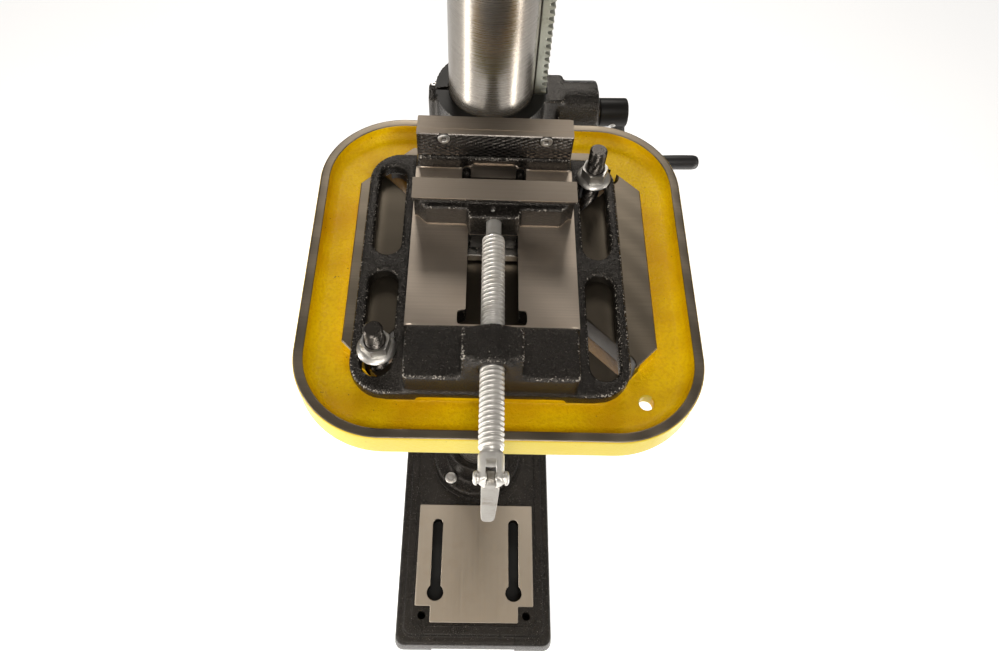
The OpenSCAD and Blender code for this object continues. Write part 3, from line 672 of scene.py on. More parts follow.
class Skin:
    """The faces of one piece, gathered from numpy grids and welded into one mesh."""

    def __init__(self) -> None:
        """Starts with no faces."""
        self._points: list[Array] = []
        self._faces: list[list] = []
        self._count = 0

    def sheet(self, grid: Array, around: bool = True) -> "Skin":
        """Adds the quads of a grid.

        Args:
            grid: points by row and column.
            around: whether the last column joins the first.

        Returns:
            The skin itself.
        """
        rows, columns = grid.shape[:2]
        index = np.arange(rows * columns).reshape(rows, columns) + self._count
        if around:
            index = np.concatenate([index, index[:, :1]], axis=1)
        quads = np.stack([index[:-1, :-1], index[:-1, 1:], index[1:, 1:], index[1:, :-1]], -1)
        self._points.append(grid.reshape(-1, 3))
        self._faces.append(quads.reshape(-1, 4).tolist())
        self._count += rows * columns
        return self

    def cap(self, ring: Array) -> "Skin":
        """Closes a ring with one face.

        Args:
            ring: its points, in order.

        Returns:
            The skin itself.
        """
        self._faces.append([list(range(self._count, self._count + len(ring)))])
        self._points.append(ring)
        self._count += len(ring)
        return self

    def solid(self, grid: Array) -> "Skin":
        """Adds a grid that closes round, with both of its ends capped."""
        return self.sheet(grid).cap(grid[0]).cap(grid[-1])

    def block(self, low: Sequence[float], high: Sequence[float], soft: float = 0.0004,
              turn: float = 0.0) -> "Skin":
        """Adds a bevelled block, turned about the Z axis.

        Args:
            low: its lowest corner.
            high: its highest corner.
            soft: the width of the bevel.
            turn: the angle in radians.

        Returns:
            The skin itself.
        """
        half = (np.array(high) - np.array(low)) / 2
        middle = (np.array(high) + np.array(low)) / 2
        soft = min(soft, half.min() * 0.9)
        rings = [level(outline(half[0] - inset, half[1] - inset, max(soft - inset, 1e-5), 3,
                               (middle[0], middle[1])), z)
                 for inset, z in ((soft, low[2]), (0.3 * soft, low[2] + 0.3 * soft),
                                  (0, low[2] + soft), (0, high[2] - soft),
                                  (0.3 * soft, high[2] - 0.3 * soft), (soft, high[2]))]
        return self.solid(turned_about(np.stack(rings), turn))

    def turned(self, axis: Axis, profile: Array, segments: int = 64,
               shape: Callable[[Array, Array], Array] | None = None) -> "Skin":
        """Adds a revolved profile whose ends are capped where they don't reach the axis.

        Args:
            axis: the line to turn it about.
            profile: rows of (radius, height).
            segments: columns round the axis.
            shape: changes the radius, as in Axis.turned.

        Returns:
            The skin itself.
        """
        grid = axis.turned(profile, segments, shape)
        self.sheet(grid)
        for row, ring in ((0, grid[0]), (-1, grid[-1])):
            if profile[row, 0] > 1e-7:
                self.cap(ring)
        return self

    def shifted(self, move: Callable[[Array], Array]) -> "Skin":
        """Applies a change to all points gathered so far."""
        self._points = [move(points) for points in self._points]
        return self

    def make(self, name: str, crease: float = 35.0, weld: float = 2e-6) -> bpy.types.Object:
        """Builds the object.

        Args:
            name: the object's name.
            crease: edges that turn by more degrees than this stay sharp.
            weld: points closer than this become one.

        Returns:
            The object, at the origin.
        """
        mesh = bpy.data.meshes.new(name)
        faces = [face for group in self._faces for face in group]
        mesh.from_pydata(np.concatenate(self._points).astype(np.float32), [], faces)
        finish_mesh(mesh, crease, weld)
        return added(name, mesh)


def added(name: str, data: bpy.types.ID) -> bpy.types.Object:
    """Adds an object with this data to the scene.

    Args:
        name: the object's name.
        data: its mesh, light or camera.

    Returns:
        The object.
    """
    made = bpy.data.objects.new(name, data)
    bpy.context.scene.collection.objects.link(made)
    return made


def finish_mesh(mesh: bpy.types.Mesh, crease: float, weld: float) -> None:
    """Welds close points, turns the faces outward and marks sharp edges.

    Args:
        mesh: the mesh to change.
        crease: the angle in degrees above which an edge is sharp.
        weld: the distance below which points are one.
    """
    work = bmesh.new()
    work.from_mesh(mesh)
    bmesh.ops.remove_doubles(work, verts=work.verts, dist=weld)
    bmesh.ops.dissolve_degenerate(work, edges=work.edges, dist=weld / 4)
    bmesh.ops.recalc_face_normals(work, faces=work.faces)
    work.to_mesh(mesh)
    work.free()
    mesh.polygons.foreach_set("use_smooth", np.ones(len(mesh.polygons), dtype=bool))
    mesh.set_sharp_from_angle(angle=math.radians(crease))
    mesh.update()


def evaluated(source: bpy.types.Object) -> bpy.types.Mesh:
    """Applies an object's modifiers.

    Args:
        source: the object, which stays as it is.

    Returns:
        A new mesh.
    """
    graph = bpy.context.evaluated_depsgraph_get()
    graph.update()
    return bpy.data.meshes.new_from_object(source.evaluated_get(graph))


def cut(target: bpy.types.Object, cutter: bpy.types.Object, crease: float = 35.0) -> None:
    """Takes the volume of a cutter out of an object and removes the cutter.

    Args:
        target: the object to cut.
        cutter: closed shapes that are taken away.
        crease: the angle in degrees above which an edge is sharp.
    """
    boolean = target.modifiers.new("cut", "BOOLEAN")
    boolean.operation = "DIFFERENCE"
    boolean.solver = "EXACT"
    boolean.use_self = True
    boolean.object = cutter
    mesh = evaluated(target)
    target.modifiers.remove(boolean)
    old = target.data
    target.data = mesh
    bpy.data.meshes.remove(old)
    bpy.data.objects.remove(cutter)
    finish_mesh(mesh, crease, 1e-6)


def bevelled(target: bpy.types.Object, width: float, segments: int = 2,
             angle: float = 35.0) -> None:
    """Adds a bevel to the sharp edges of an object and keeps its flat faces flat.

    Args:
        target: the object.
        width: the width of the bevel.
        segments: how many faces it has across.
        angle: edges that turn by more degrees than this get it.
    """
    bevel = target.modifiers.new("edge", "BEVEL")
    bevel.width = width
    bevel.segments = segments
    bevel.limit_method = "ANGLE"
    bevel.angle_limit = math.radians(angle)
    bevel.use_clamp_overlap = True
    bevel.harden_normals = False
    flat = target.modifiers.new("flat", "WEIGHTED_NORMAL")
    flat.keep_sharp = True


def join(name: str, *parts: bpy.types.Object) -> bpy.types.Object:
    """Puts the faces of several objects into the first one.

    Args:
        name: the joined object's name.
        parts: the objects; all but the first are removed.

    Returns:
        The joined object.
    """
    work = bmesh.new()
    for part in parts:
        work.from_mesh(part.data)
    for part in parts[1:]:
        bpy.data.objects.remove(part)
    work.to_mesh(parts[0].data)
    work.free()
    parts[0].data.set_sharp_from_angle(angle=math.radians(35))
    parts[0].name = name
    return parts[0]


def marked(mesh: bpy.types.Mesh, name: str, mask: Array) -> None:
    """Stores a mask under a name, one value from 0 to 1 per vertex."""
    attribute = mesh.attributes.new(name, "FLOAT", "POINT")
    attribute.data.foreach_set("value", mask.astype(np.float32))


def second_material(target: bpy.types.Object, material: bpy.types.Material,
                    chosen: Callable[[Array, Array], Array]) -> None:
    """Gives some faces of an object another material.

    Args:
        target: the object, which already has its first material.
        material: the other material.
        chosen: says from the faces' centres and normals which of them take it.
    """
    mesh = target.data
    mesh.materials.append(material)
    centre = np.empty(len(mesh.polygons) * 3, dtype=np.float32)
    normal = np.empty_like(centre)
    index = np.zeros(len(mesh.polygons), dtype=np.int32)
    mesh.polygons.foreach_get("center", centre)
    mesh.polygons.foreach_get("normal", normal)
    mesh.polygons.foreach_get("material_index", index)
    index[chosen(centre.reshape(-1, 3), normal.reshape(-1, 3))] = len(mesh.materials) - 1
    mesh.polygons.foreach_set("material_index", index)
    mesh.update()


def points_of(mesh: bpy.types.Mesh) -> Array:
    """The vertices of a mesh as rows of x, y, z."""
    flat = np.empty(len(mesh.vertices) * 3, dtype=np.float32)
    mesh.vertices.foreach_get("co", flat)
    return flat.reshape(-1, 3).astype(float)


def move_points(mesh: bpy.types.Mesh, points: Array) -> None:
    """Puts the vertices of a mesh in new places."""
    mesh.vertices.foreach_set("co", points.astype(np.float32).ravel())
    mesh.update()


def edges_of(mesh: bpy.types.Mesh) -> Array:
    """The edges of a mesh as rows of two vertex numbers."""
    flat = np.empty(len(mesh.edges) * 2, dtype=np.int32)
    mesh.edges.foreach_get("vertices", flat)
    return flat.reshape(-1, 2)


@dataclass(frozen=True)
class Plane:
    """A machined plane: points within reach of it keep their place and lose the paint."""

    axis: int
    at: float
    reach: float = 0.0007
    low: tuple[float, float, float] = (-9.0, -9.0, -9.0)
    high: tuple[float, float, float] = (9.0, 9.0, 9.0)

    def holds(self, points: Array) -> Array:
        """Finds the points that lie on the plane, within its limits.

        Args:
            points: rows of x, y, z.

        Returns:
            True for each of these points.
        """
        near = np.abs(points[:, self.axis] - self.at) < self.reach
        inside = np.all((points >= np.array(self.low)) & (points <= np.array(self.high)), axis=1)
        return near & inside


@dataclass(frozen=True)
class Casting:
    """A CAD node turned into a casting with rounded edges and crisp machined planes."""

    node: str
    voxel: float
    rounds: int = 10
    planes: tuple[Plane, ...] = ()
    turn: float = 0.0

    def make(self, name: str) -> bpy.types.Object:
        """Builds the casting.

        The node's copy is remeshed in cubes of the voxel size. Then each round moves every vertex
        p by half of (the mean of its neighbours - p), which rounds edges by about
        voxel * sqrt(rounds / 2), while the vertices on the machined planes stay. A vertex on a
        convex edge, where the mean of its neighbours lies below it, gets a painted highlight: its
        mask, clip(depth / voxel * gain - start, 0, 1) with the gain and start given at the top, is
        averaged twice with the neighbours.

        Args:
            name: the new object's name.

        Returns:
            The object, which replaces the node.
        """
        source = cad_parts[self.node]
        copy = source.data.copy()
        finish_mesh(copy, 30.0, 1e-6)
        temporary = added(name + "_source", copy)
        remesh = temporary.modifiers.new("remesh", "REMESH")
        remesh.mode = "VOXEL"
        remesh.voxel_size = self.voxel
        remesh.adaptivity = 0.0
        mesh = evaluated(temporary)
        bpy.data.objects.remove(temporary)
        bpy.data.meshes.remove(copy)
        points = points_of(mesh)
        edges = edges_of(mesh)
        local = turned_about(points, -self.turn)
        held = np.zeros(len(points), dtype=bool)
        for plane in self.planes:
            on = plane.holds(local)
            local[on, plane.axis] = plane.at
            held |= on
        count = np.bincount(edges.ravel(), minlength=len(points)).astype(float)[:, None]

        def mean(values: Array) -> Array:
            """The mean of each vertex's neighbours, column by column."""
            total = np.stack([
                np.bincount(edges[:, 0], column[edges[:, 1]], len(values))
                + np.bincount(edges[:, 1], column[edges[:, 0]], len(values))
                for column in values.T], axis=1)
            return total / np.maximum(count, 1)
        for _ in range(self.rounds):
            local = np.where(held[:, None], local, local + 0.5 * (mean(local) - local))
        points = turned_about(local, self.turn)
        move_points(mesh, points)
        normals = np.empty(len(points) * 3, dtype=np.float32)
        mesh.vertices.foreach_get("normal", normals)
        # The painted highlight mask: high where a vertex stands out above its neighbours' mean, on convex
        # edges.
        depth = np.sum((points - mean(points)) * normals.reshape(-1, 3), axis=1, keepdims=True)
        edge_glint = np.clip(depth / self.voxel * GLINT_GAIN - GLINT_START, 0, 1)
        for _ in range(2):
            edge_glint = (edge_glint + mean(edge_glint)) / 2
        marked(mesh, MASK, held.astype(float))
        marked(mesh, GLINT_EDGE, edge_glint[:, 0])
        mesh.materials.clear()
        mesh.polygons.foreach_set("use_smooth", np.ones(len(mesh.polygons), dtype=bool))
        mesh.set_sharp_from_angle(angle=math.radians(50))
        mesh.update()
        return added(name, mesh)


def hexagon(across: float, top: float, cone: float = 0.9) -> Callable[[Array, Array], Array]:
    """The radius of a hexagon bar whose top is turned to a cone.

    The radius is the smaller of the hexagon, (across / 2) / cos(a mod 60 - 30), and of the cone,
    cone * across / 2 * 2 / sqrt(3) + (top - h) * 1.7.

    Args:
        across: the width across flats.
        top: the height of the top face.
        cone: the share of the corner radius that the top face keeps.

    Returns:
        The shape function for Axis.turned.
    """
    def shape(profile: Array, angle: Array) -> Array:
        """The bar's radius by row and column."""
        wedge = np.mod(angle, math.pi / 3) - math.pi / 6
        flat = (across / 2) / np.cos(wedge)[None, :]
        limit = cone * across / math.sqrt(3) + (top - profile[:, 1:2]) * 1.7
        radius = np.minimum(flat, limit)
        return np.where(profile[:, :1] < across / 2 * 0.86, profile[:, :1], radius)
    return shape


def threaded(core: float, outer: float, pitch: float) -> Callable[[Array, Array], Array]:
    """The radius of a screw thread.

    It is core + (outer - core) * w, with w a rounded wave of (h / pitch - a / 2 pi).

    Args:
        core: the radius at the root.
        outer: the radius at the crest.
        pitch: the rise in one turn.

    Returns:
        The shape function for Axis.turned.
    """
    def shape(profile: Array, angle: Array) -> Array:
        """The thread's radius by row and column."""
        phase = profile[:, 1:2] / pitch - angle[None, :] / (2 * math.pi)
        wave = np.abs(np.mod(phase, 1.0) - 0.5) * 2
        wave = np.clip((wave - 0.16) / 0.56, 0, 1)
        wave = wave * wave * (3 - 2 * wave)
        radius = core + (outer - core) * wave
        return np.where(profile[:, :1] < outer - 1e-7, np.minimum(profile[:, :1], radius), radius)
    return shape


@dataclass
class Assembly:
    """A part of the machine that builds its own pieces and dresses them."""

    finishes: Finishes
    body: str = "stand"
    made: list[str] = field(default_factory=list)

    def place(self, piece: bpy.types.Object, slot: str, material: bpy.types.Material,
              *nodes: str, body: str | None = None) -> bpy.types.Object:
        """Gives a new piece its material and body, and hides the nodes it stands for.

        Args:
            piece: the new object.
            slot: the record's material slot; not used.
            material: its finish.
            nodes: CAD nodes that it replaces.
            body: the body it moves with, when it isn't the assembly's own.

        Returns:
            The piece.
        """
        piece.data.materials.clear()
        piece.data.materials.append(material)
        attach(piece, body or self.body)
        if nodes:
            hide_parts(*nodes)
        self.made.append(piece.name)
        return piece

    def dress(self, node: str, material: bpy.types.Material, edge: float = 0.0005) -> None:
        """Gives a CAD node that is shown its finish, welded faces and small bevels.

        Args:
            node: the CAD node.
            material: its finish.
            edge: the width of the bevel, or 0 for none.
        """
        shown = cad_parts[node]
        shown.data.materials.clear()
        shown.data.materials.append(material)
        weld = shown.modifiers.new("weld", "WELD")
        weld.merge_threshold = 0.00001
        if edge > 0:
            bevelled(shown, edge, 2, 40.0)
        self.made.append(node)

    def dress_all(self, *rows: tuple[str, bpy.types.Material, float]) -> None:
        """Dresses several CAD nodes, each given as (node, material, edge)."""
        for node, material, edge in rows:
            self.dress(node, material, edge)

    def report(self) -> None:
        """Logs the pieces of the assembly."""
        LOG.info("%s: %s", type(self).__name__, ", ".join(self.made))


# The stand


@dataclass
class Stand(Assembly):
    """The base, the flange with its bolts, and the column."""

    front: float = 311 * MM
    rear: float = 125 * MM
    half_width: float = 125.5 * MM
    pad_half: float = 93.9 * MM
    bolt_circle: float = 62 * MM
    column_radius: float = 35 * MM
    column_foot: float = 49.2 * MM
    column_top: float = 1395 * MM

    def _tier(self, inset: float, z: float) -> Array:
        """One ring of the base.

        Args:
            inset: how far it is from the outline of the base's foot.
            z: its height.

        Returns:
            The ring.
        """
        stops = [0.0, 0.0135, 0.0265]
        front = np.interp(inset, stops, [self.front, 0.295, 0.280])
        rear = np.interp(inset, stops, [self.rear, 0.110, 0.099])
        radius = np.interp(inset, stops, [0.015, 0.0135, 0.008])
        ring = outline(self.half_width - inset, (front + rear) / 2, radius, 10,
                       (0.0, (rear - front) / 2), 12)
        return level(ring, z)

    def base(self) -> None:
        """Builds the base: tiers lofted from rounded rectangles, with the pad and its slots."""
        outer = softened([
            (0.0112, 0.027, 0), (0.0110, 0.0, 0.0015), (0.0, 0.0, 0.0015),
            (0.0030, 0.033, 0.0055), (0.0138, 0.0334, 0.0025), (0.0148, 0.038, 0.0025),
            (0.0262, 0.0382, 0.0015), (0.0270, 0.0412, 0.0015), (0.0300, 0.0412, 0)], 5)
        skin = Skin().solid(np.stack([self._tier(s, z) for s, z in outer]))
        seat = softened([(0.0, 0.030, 0), (0.0785, 0.030, 0), (0.0785, 0.045, 0.0015),
                         (0.0, 0.045, 0)])
        skin.turned(COLUMN_AXIS, seat, 96)
        for x in (-0.040, 0.040):
            skin.block((x - 0.004, -self.front + 0.008, 0.006), (x + 0.004, 0.117, 0.030))
        for y in (-0.248, -0.096, 0.010):
            skin.block((-0.1175, y - 0.004, 0.006), (0.1175, y + 0.004, 0.030))
        boss = softened([(0.0, 0.0, 0), (0.014, 0.0, 0.001), (0.014, 0.030, 0), (0.0, 0.030, 0)])
        for x in (-0.083, 0.083):
            for y in (-0.265, 0.088):
                skin.turned(Axis((x, y, 0)), boss, 32)
        hub = softened([(0.0, 0.0, 0), (0.038, 0.0, 0.001), (0.038, 0.030, 0), (0.0, 0.030, 0)])
        skin.turned(COLUMN_AXIS, hub, 48)
        pad = skin.make("base_casting")
        plate = Skin()
        middle, half = -0.1816, 0.0943
        edge = self.pad_half
        corner = np.array([
            [edge, -0.251], [edge, -0.0873], [-edge, -0.0873], [-edge, -0.251],
            [-0.0695, -0.251], [-0.0695, middle - half], [0.0695, middle - half],
            [0.0695, -0.251]])
        ring = rounded_corners(corner, 0.0022, 5)
        rows = [level(resized(ring, move), z) for move, z in (
            (0.0006, 0.036), (0.0004, 0.0440), (0.0, 0.0443), (-0.0007, 0.0450))]
        plate.solid(np.stack(rows))
        plate = plate.make("base_pad")
        cutter = Skin()
        for side in (-1, 1):
            x = side * 0.0629
            for half_x, half_y, y in ((0.0083, 0.06365, -0.17525), (0.013, 0.013, -0.2306)):
                rings = [level(outline(half_x + grow, half_y + grow, 9.0, 14, (x, y)), z)
                         for grow, z in ((0, 0.004), (0, 0.0444), (0.0009, 0.0453))]
                cutter.solid(np.stack(rings))
            for y in (-0.265, 0.088):
                hole = softened([(0.0, -0.01, 0), (0.006, -0.01, 0), (0.006, 0.0402, 0.0),
                                 (0.0075, 0.0417, 0.0), (0.0, 0.0417, 0)])
                cutter.turned(Axis((side * 0.083, y, 0)), hole, 32)
            cutter.block((side * 0.119 - 0.013, -0.245, -0.01), (side * 0.119 + 0.013, 0.060, 0.009))
        cutter.block((-0.066, -0.330, -0.01), (0.066, -0.296, 0.009))
        cutter.block((-0.066, 0.112, -0.01), (0.066, 0.140, 0.009))
        cut(pad, cutter.make("base_cutter"))
        cut(plate, cutter.make("pad_cutter"))
        joined = join("base_casting", pad, plate)
        self.place(joined, "black_cast", self.finishes.base_paint, "base")
        second_material(joined, self.finishes.base_metal,
                        lambda at, to: (at[:, 2] > 0.0441) & (at[:, 1] < -0.085)
                        & (to[:, 2] > 0.3))

    def flange(self) -> None:
        """Builds the round casting that holds the column, and its four bolts."""
        profile = softened([
            (0.0352, 0.046, 0), (0.074, 0.0455, 0.001), (0.074, 0.052, 0.003),
            (0.071, 0.0565, 0.003), (0.0605, 0.0572, 0.004), (0.0515, 0.0590, 0.006),
            (0.0500, 0.0680, 0.006), (0.0500, 0.112, 0.002), (0.0462, 0.112, 0.001),
            (0.0462, 0.104, 0.001), (0.0352, 0.104, 0)])
        flange = Skin().sheet(COLUMN_AXIS.turned(profile, 128)).make("column_flange_casting")
        cutter = Skin()
        for quarter in range(4):
            angle = math.radians(45 + 90 * quarter)
            x, y = self.bolt_circle * math.cos(angle), self.bolt_circle * math.sin(angle)
            cutter.turned(Axis((x, y, 0)), softened([
                (0.0, 0.0561, 0), (0.0102, 0.0561, 0.0005), (0.0107, 0.066, 0), (0.0, 0.066, 0)]), 40)
            self.bolt(x, y, quarter)
        cut(flange, cutter.make("flange_cutter"), 50)
        self.place(flange, "black_cast", self.finishes.base_paint, "column_flange")

    def bolt(self, x: float, y: float, quarter: int) -> None:
        """Builds one flanged hexagon bolt with its washer.

        Args:
            x: the bolt's place.
            y: the bolt's place.
            quarter: which of the four bolts it is.
        """
        spin = 0.35 + 0.8 * quarter
        washer = softened([(0.0, 0.0562, 0), (0.010, 0.0562, 0.0003), (0.010, 0.0572, 0.0006),
                           (0.0084, 0.0580, 0.0005), (0.0, 0.0582, 0)])
        head = softened([(0.0, 0.0572, 0), (0.0070, 0.0574, 0.0), (0.0081, 0.0576, 0),
                         (0.0081, 0.0608, 0), (0.0081, 0.0625, 0), (0.0081, 0.0636, 0),
                         (0.0081, 0.0642, 0), (0.0064, 0.0642, 0.0002), (0.0058, 0.0637, 0.0002),
                         (0.0, 0.0637, 0)], 3)
        skin = Skin().turned(COLUMN_AXIS, washer, 48)
        skin.turned(COLUMN_AXIS, head, 96, hexagon(0.0140, 0.0642, 0.93))
        shank = np.array([[0, 0.0201], [0.005, 0.0201], [0.005, 0.0572], [0, 0.0572]])
        skin.turned(COLUMN_AXIS, shank, 32)
        skin.shifted(lambda p: turned_about(p, spin) + np.array([x, y, 0]))
        piece = skin.make(f"flange_bolt_{quarter + 1}")
        self.place(piece, "zinc", self.finishes.zinc, *(["flange_bolts"] if quarter == 0 else []))

    def column(self) -> None:
        """Builds the column tube with chamfered ends."""
        r, foot, top = self.column_radius, self.column_foot, self.column_top
        profile = softened([
            (r - 0.005, foot, 0), (r, foot, 0.0008), (r, 0.60, 0), (r, top, 0.0012),
            (r - 0.005, top, 0.0012), (r - 0.005, foot, 0)], 3)
        tube = Skin().sheet(COLUMN_AXIS.turned(profile, 192)).make("column_tube", 40)
        self.place(tube, "steel", self.finishes.column, "column")

    def make(self) -> None:
        """Builds everything in the assembly."""
        self.base()
        self.flange()
        self.column()
        collar = softened([
            (0.0462, 1.0162, 0), (0.0500, 1.0162, 0.0015), (0.052, 1.0200, 0.002),
            (0.052, 1.0400, 0.002), (0.0490, 1.0439, 0.0015), (0.0353, 1.0439, 0.0008),
            (0.0353, 1.0252, 0.0), (0.0462, 1.0252, 0.0), (0.0462, 1.0162, 0)])
        ring = Skin().sheet(COLUMN_AXIS.turned(collar, 96)).make("rack_collar_ring")
        self.place(ring, "black_cast", self.finishes.satin, "rack_collar")
        self.dress("set_screws", self.finishes.oxide, 0.0006)
        self.report()


# The table and what carries it


@dataclass
class TableSupport(Assembly):
    """The rack, the bracket with its crank, the arm and their locks."""

    body: str = "bracket_unit"
    crank_z: float = 856.2 * MM
    grip_z: float = 793.7 * MM

    def swung(self, grid: Array) -> Array:
        """Turns points with the swung arm."""
        return turned_about(grid, ARM_SWING)

    def bracket(self) -> None:
        """Builds the clamping collar with its gear housing from the CAD node."""
        piece = Casting("bracket", 0.00125, 7, turn=ARM_SWING, planes=(
            Plane(2, 0.883, 0.0009, (-0.0475, -0.05, 0), (0.0475, 0.05, 9)),)).make("bracket_casting")
        piece.data.attributes.remove(piece.data.attributes[MASK])
        self.place(piece, "black_cast", self.finishes.cast, "bracket")
        second_material(piece, self.finishes.satin,
                        lambda at, to: (at[:, 2] > 0.8822) & (to[:, 2] > 0.6)
                        & (np.hypot(at[:, 0], at[:, 1]) < 0.0468))

    def crank(self) -> None:
        """Builds the hub, the slanted arm and the grip of the crank."""
        hub = softened([(0.0066, 0.0935, 0), (0.0120, 0.0935, 0.001), (0.0120, 0.117, 0.0012),
                        (0.0104, 0.1178, 0.0006), (0.0066, 0.1178, 0.0)], 4)
        skin = Skin().sheet(Axis((0, 0, self.crank_z), (1, 0, 0)).turned(hub, 64))
        share = np.linspace(0, 1, 21)[:, None]
        corners = np.array([[0.1105, 0.8525], [0.1135, 0.8320], [0.1160, 0.8210], [0.1390, 0.7937]])
        line = ((1 - share) ** 3 * corners[0] + 3 * (1 - share) ** 2 * share * corners[1]
                + 3 * (1 - share) * share ** 2 * corners[2] + share ** 3 * corners[3])
        tangent = np.gradient(line, axis=0)
        tangent /= np.linalg.norm(tangent, axis=1, keepdims=True)
        normal = np.stack([-tangent[:, 1], tangent[:, 0]], axis=1)
        thick = np.interp(share[:, 0], [0, 0.7, 1], [0.0062, 0.0048, 0.0044])
        wide = np.interp(share[:, 0], [0, 0.5, 1], [0.0088, 0.0078, 0.0078])
        rows = []
        for at, across, half, width in zip(line, normal, thick, wide):
            ring = outline(half, width, 0.0028, 5)
            rows.append(np.stack([at[0] + across[0] * ring[:, 0], ring[:, 1],
                                  at[1] + across[1] * ring[:, 0]], axis=1))
        skin.solid(np.stack(rows))
        boss = softened([(0.004, 0.1342, 0), (0.0082, 0.1342, 0.0012), (0.0082, 0.1436, 0.0012),
                         (0.004, 0.1436, 0)], 4)
        skin.sheet(Axis((0, 0, self.grip_z), (1, 0, 0)).turned(boss, 48))
        self.place(skin.shifted(self.swung).make("crank_arm"), "black_cast",
                   self.finishes.satin, "crank", body="crank_unit")
        grip = softened([
            (0.0042, 0.1438, 0), (0.0072, 0.1438, 0.0006), (0.0078, 0.1446, 0.0006),
            (0.0074, 0.1462, 0.001), (0.0062, 0.1470, 0.001), (0.0064, 0.1560, 0.004),
            (0.0068, 0.1760, 0.006), (0.0067, 0.1935, 0.004), (0.0045, 0.1968, 0.002),
            (0.0, 0.1970, 0)], 6)
        piece = Skin().turned(Axis((0, 0, self.grip_z), (1, 0, 0)), grip, 56)
        self.place(piece.shifted(self.swung).make("crank_grip_sleeve"), "black_plastic",
                   self.finishes.plastic, "crank_grip", body="grip")

    def make(self) -> None:
        """Builds everything in the assembly."""
        self.bracket()
        self.crank()
        look = self.finishes
        self.dress_all(
            ("crank_screw", look.zinc, 0.0004), ("rack", look.rack, 0.0005),
            ("worm_shaft", look.oxide, 0.0004), ("pinion", look.steel, 0.0003),
            ("column_lock", look.oxide, 0.0006), ("ear_screw", look.zinc, 0.0002),
            ("tilt_bolt", look.zinc, 0.0008), ("table_lock", look.oxide, 0.0006))
        arm = Casting("table_arm", 0.0020, 12, turn=ARM_SWING).make("table_arm_casting")
        self.place(arm, "black_cast", self.finishes.head, "table_arm", body="arm_unit")
        self.report()


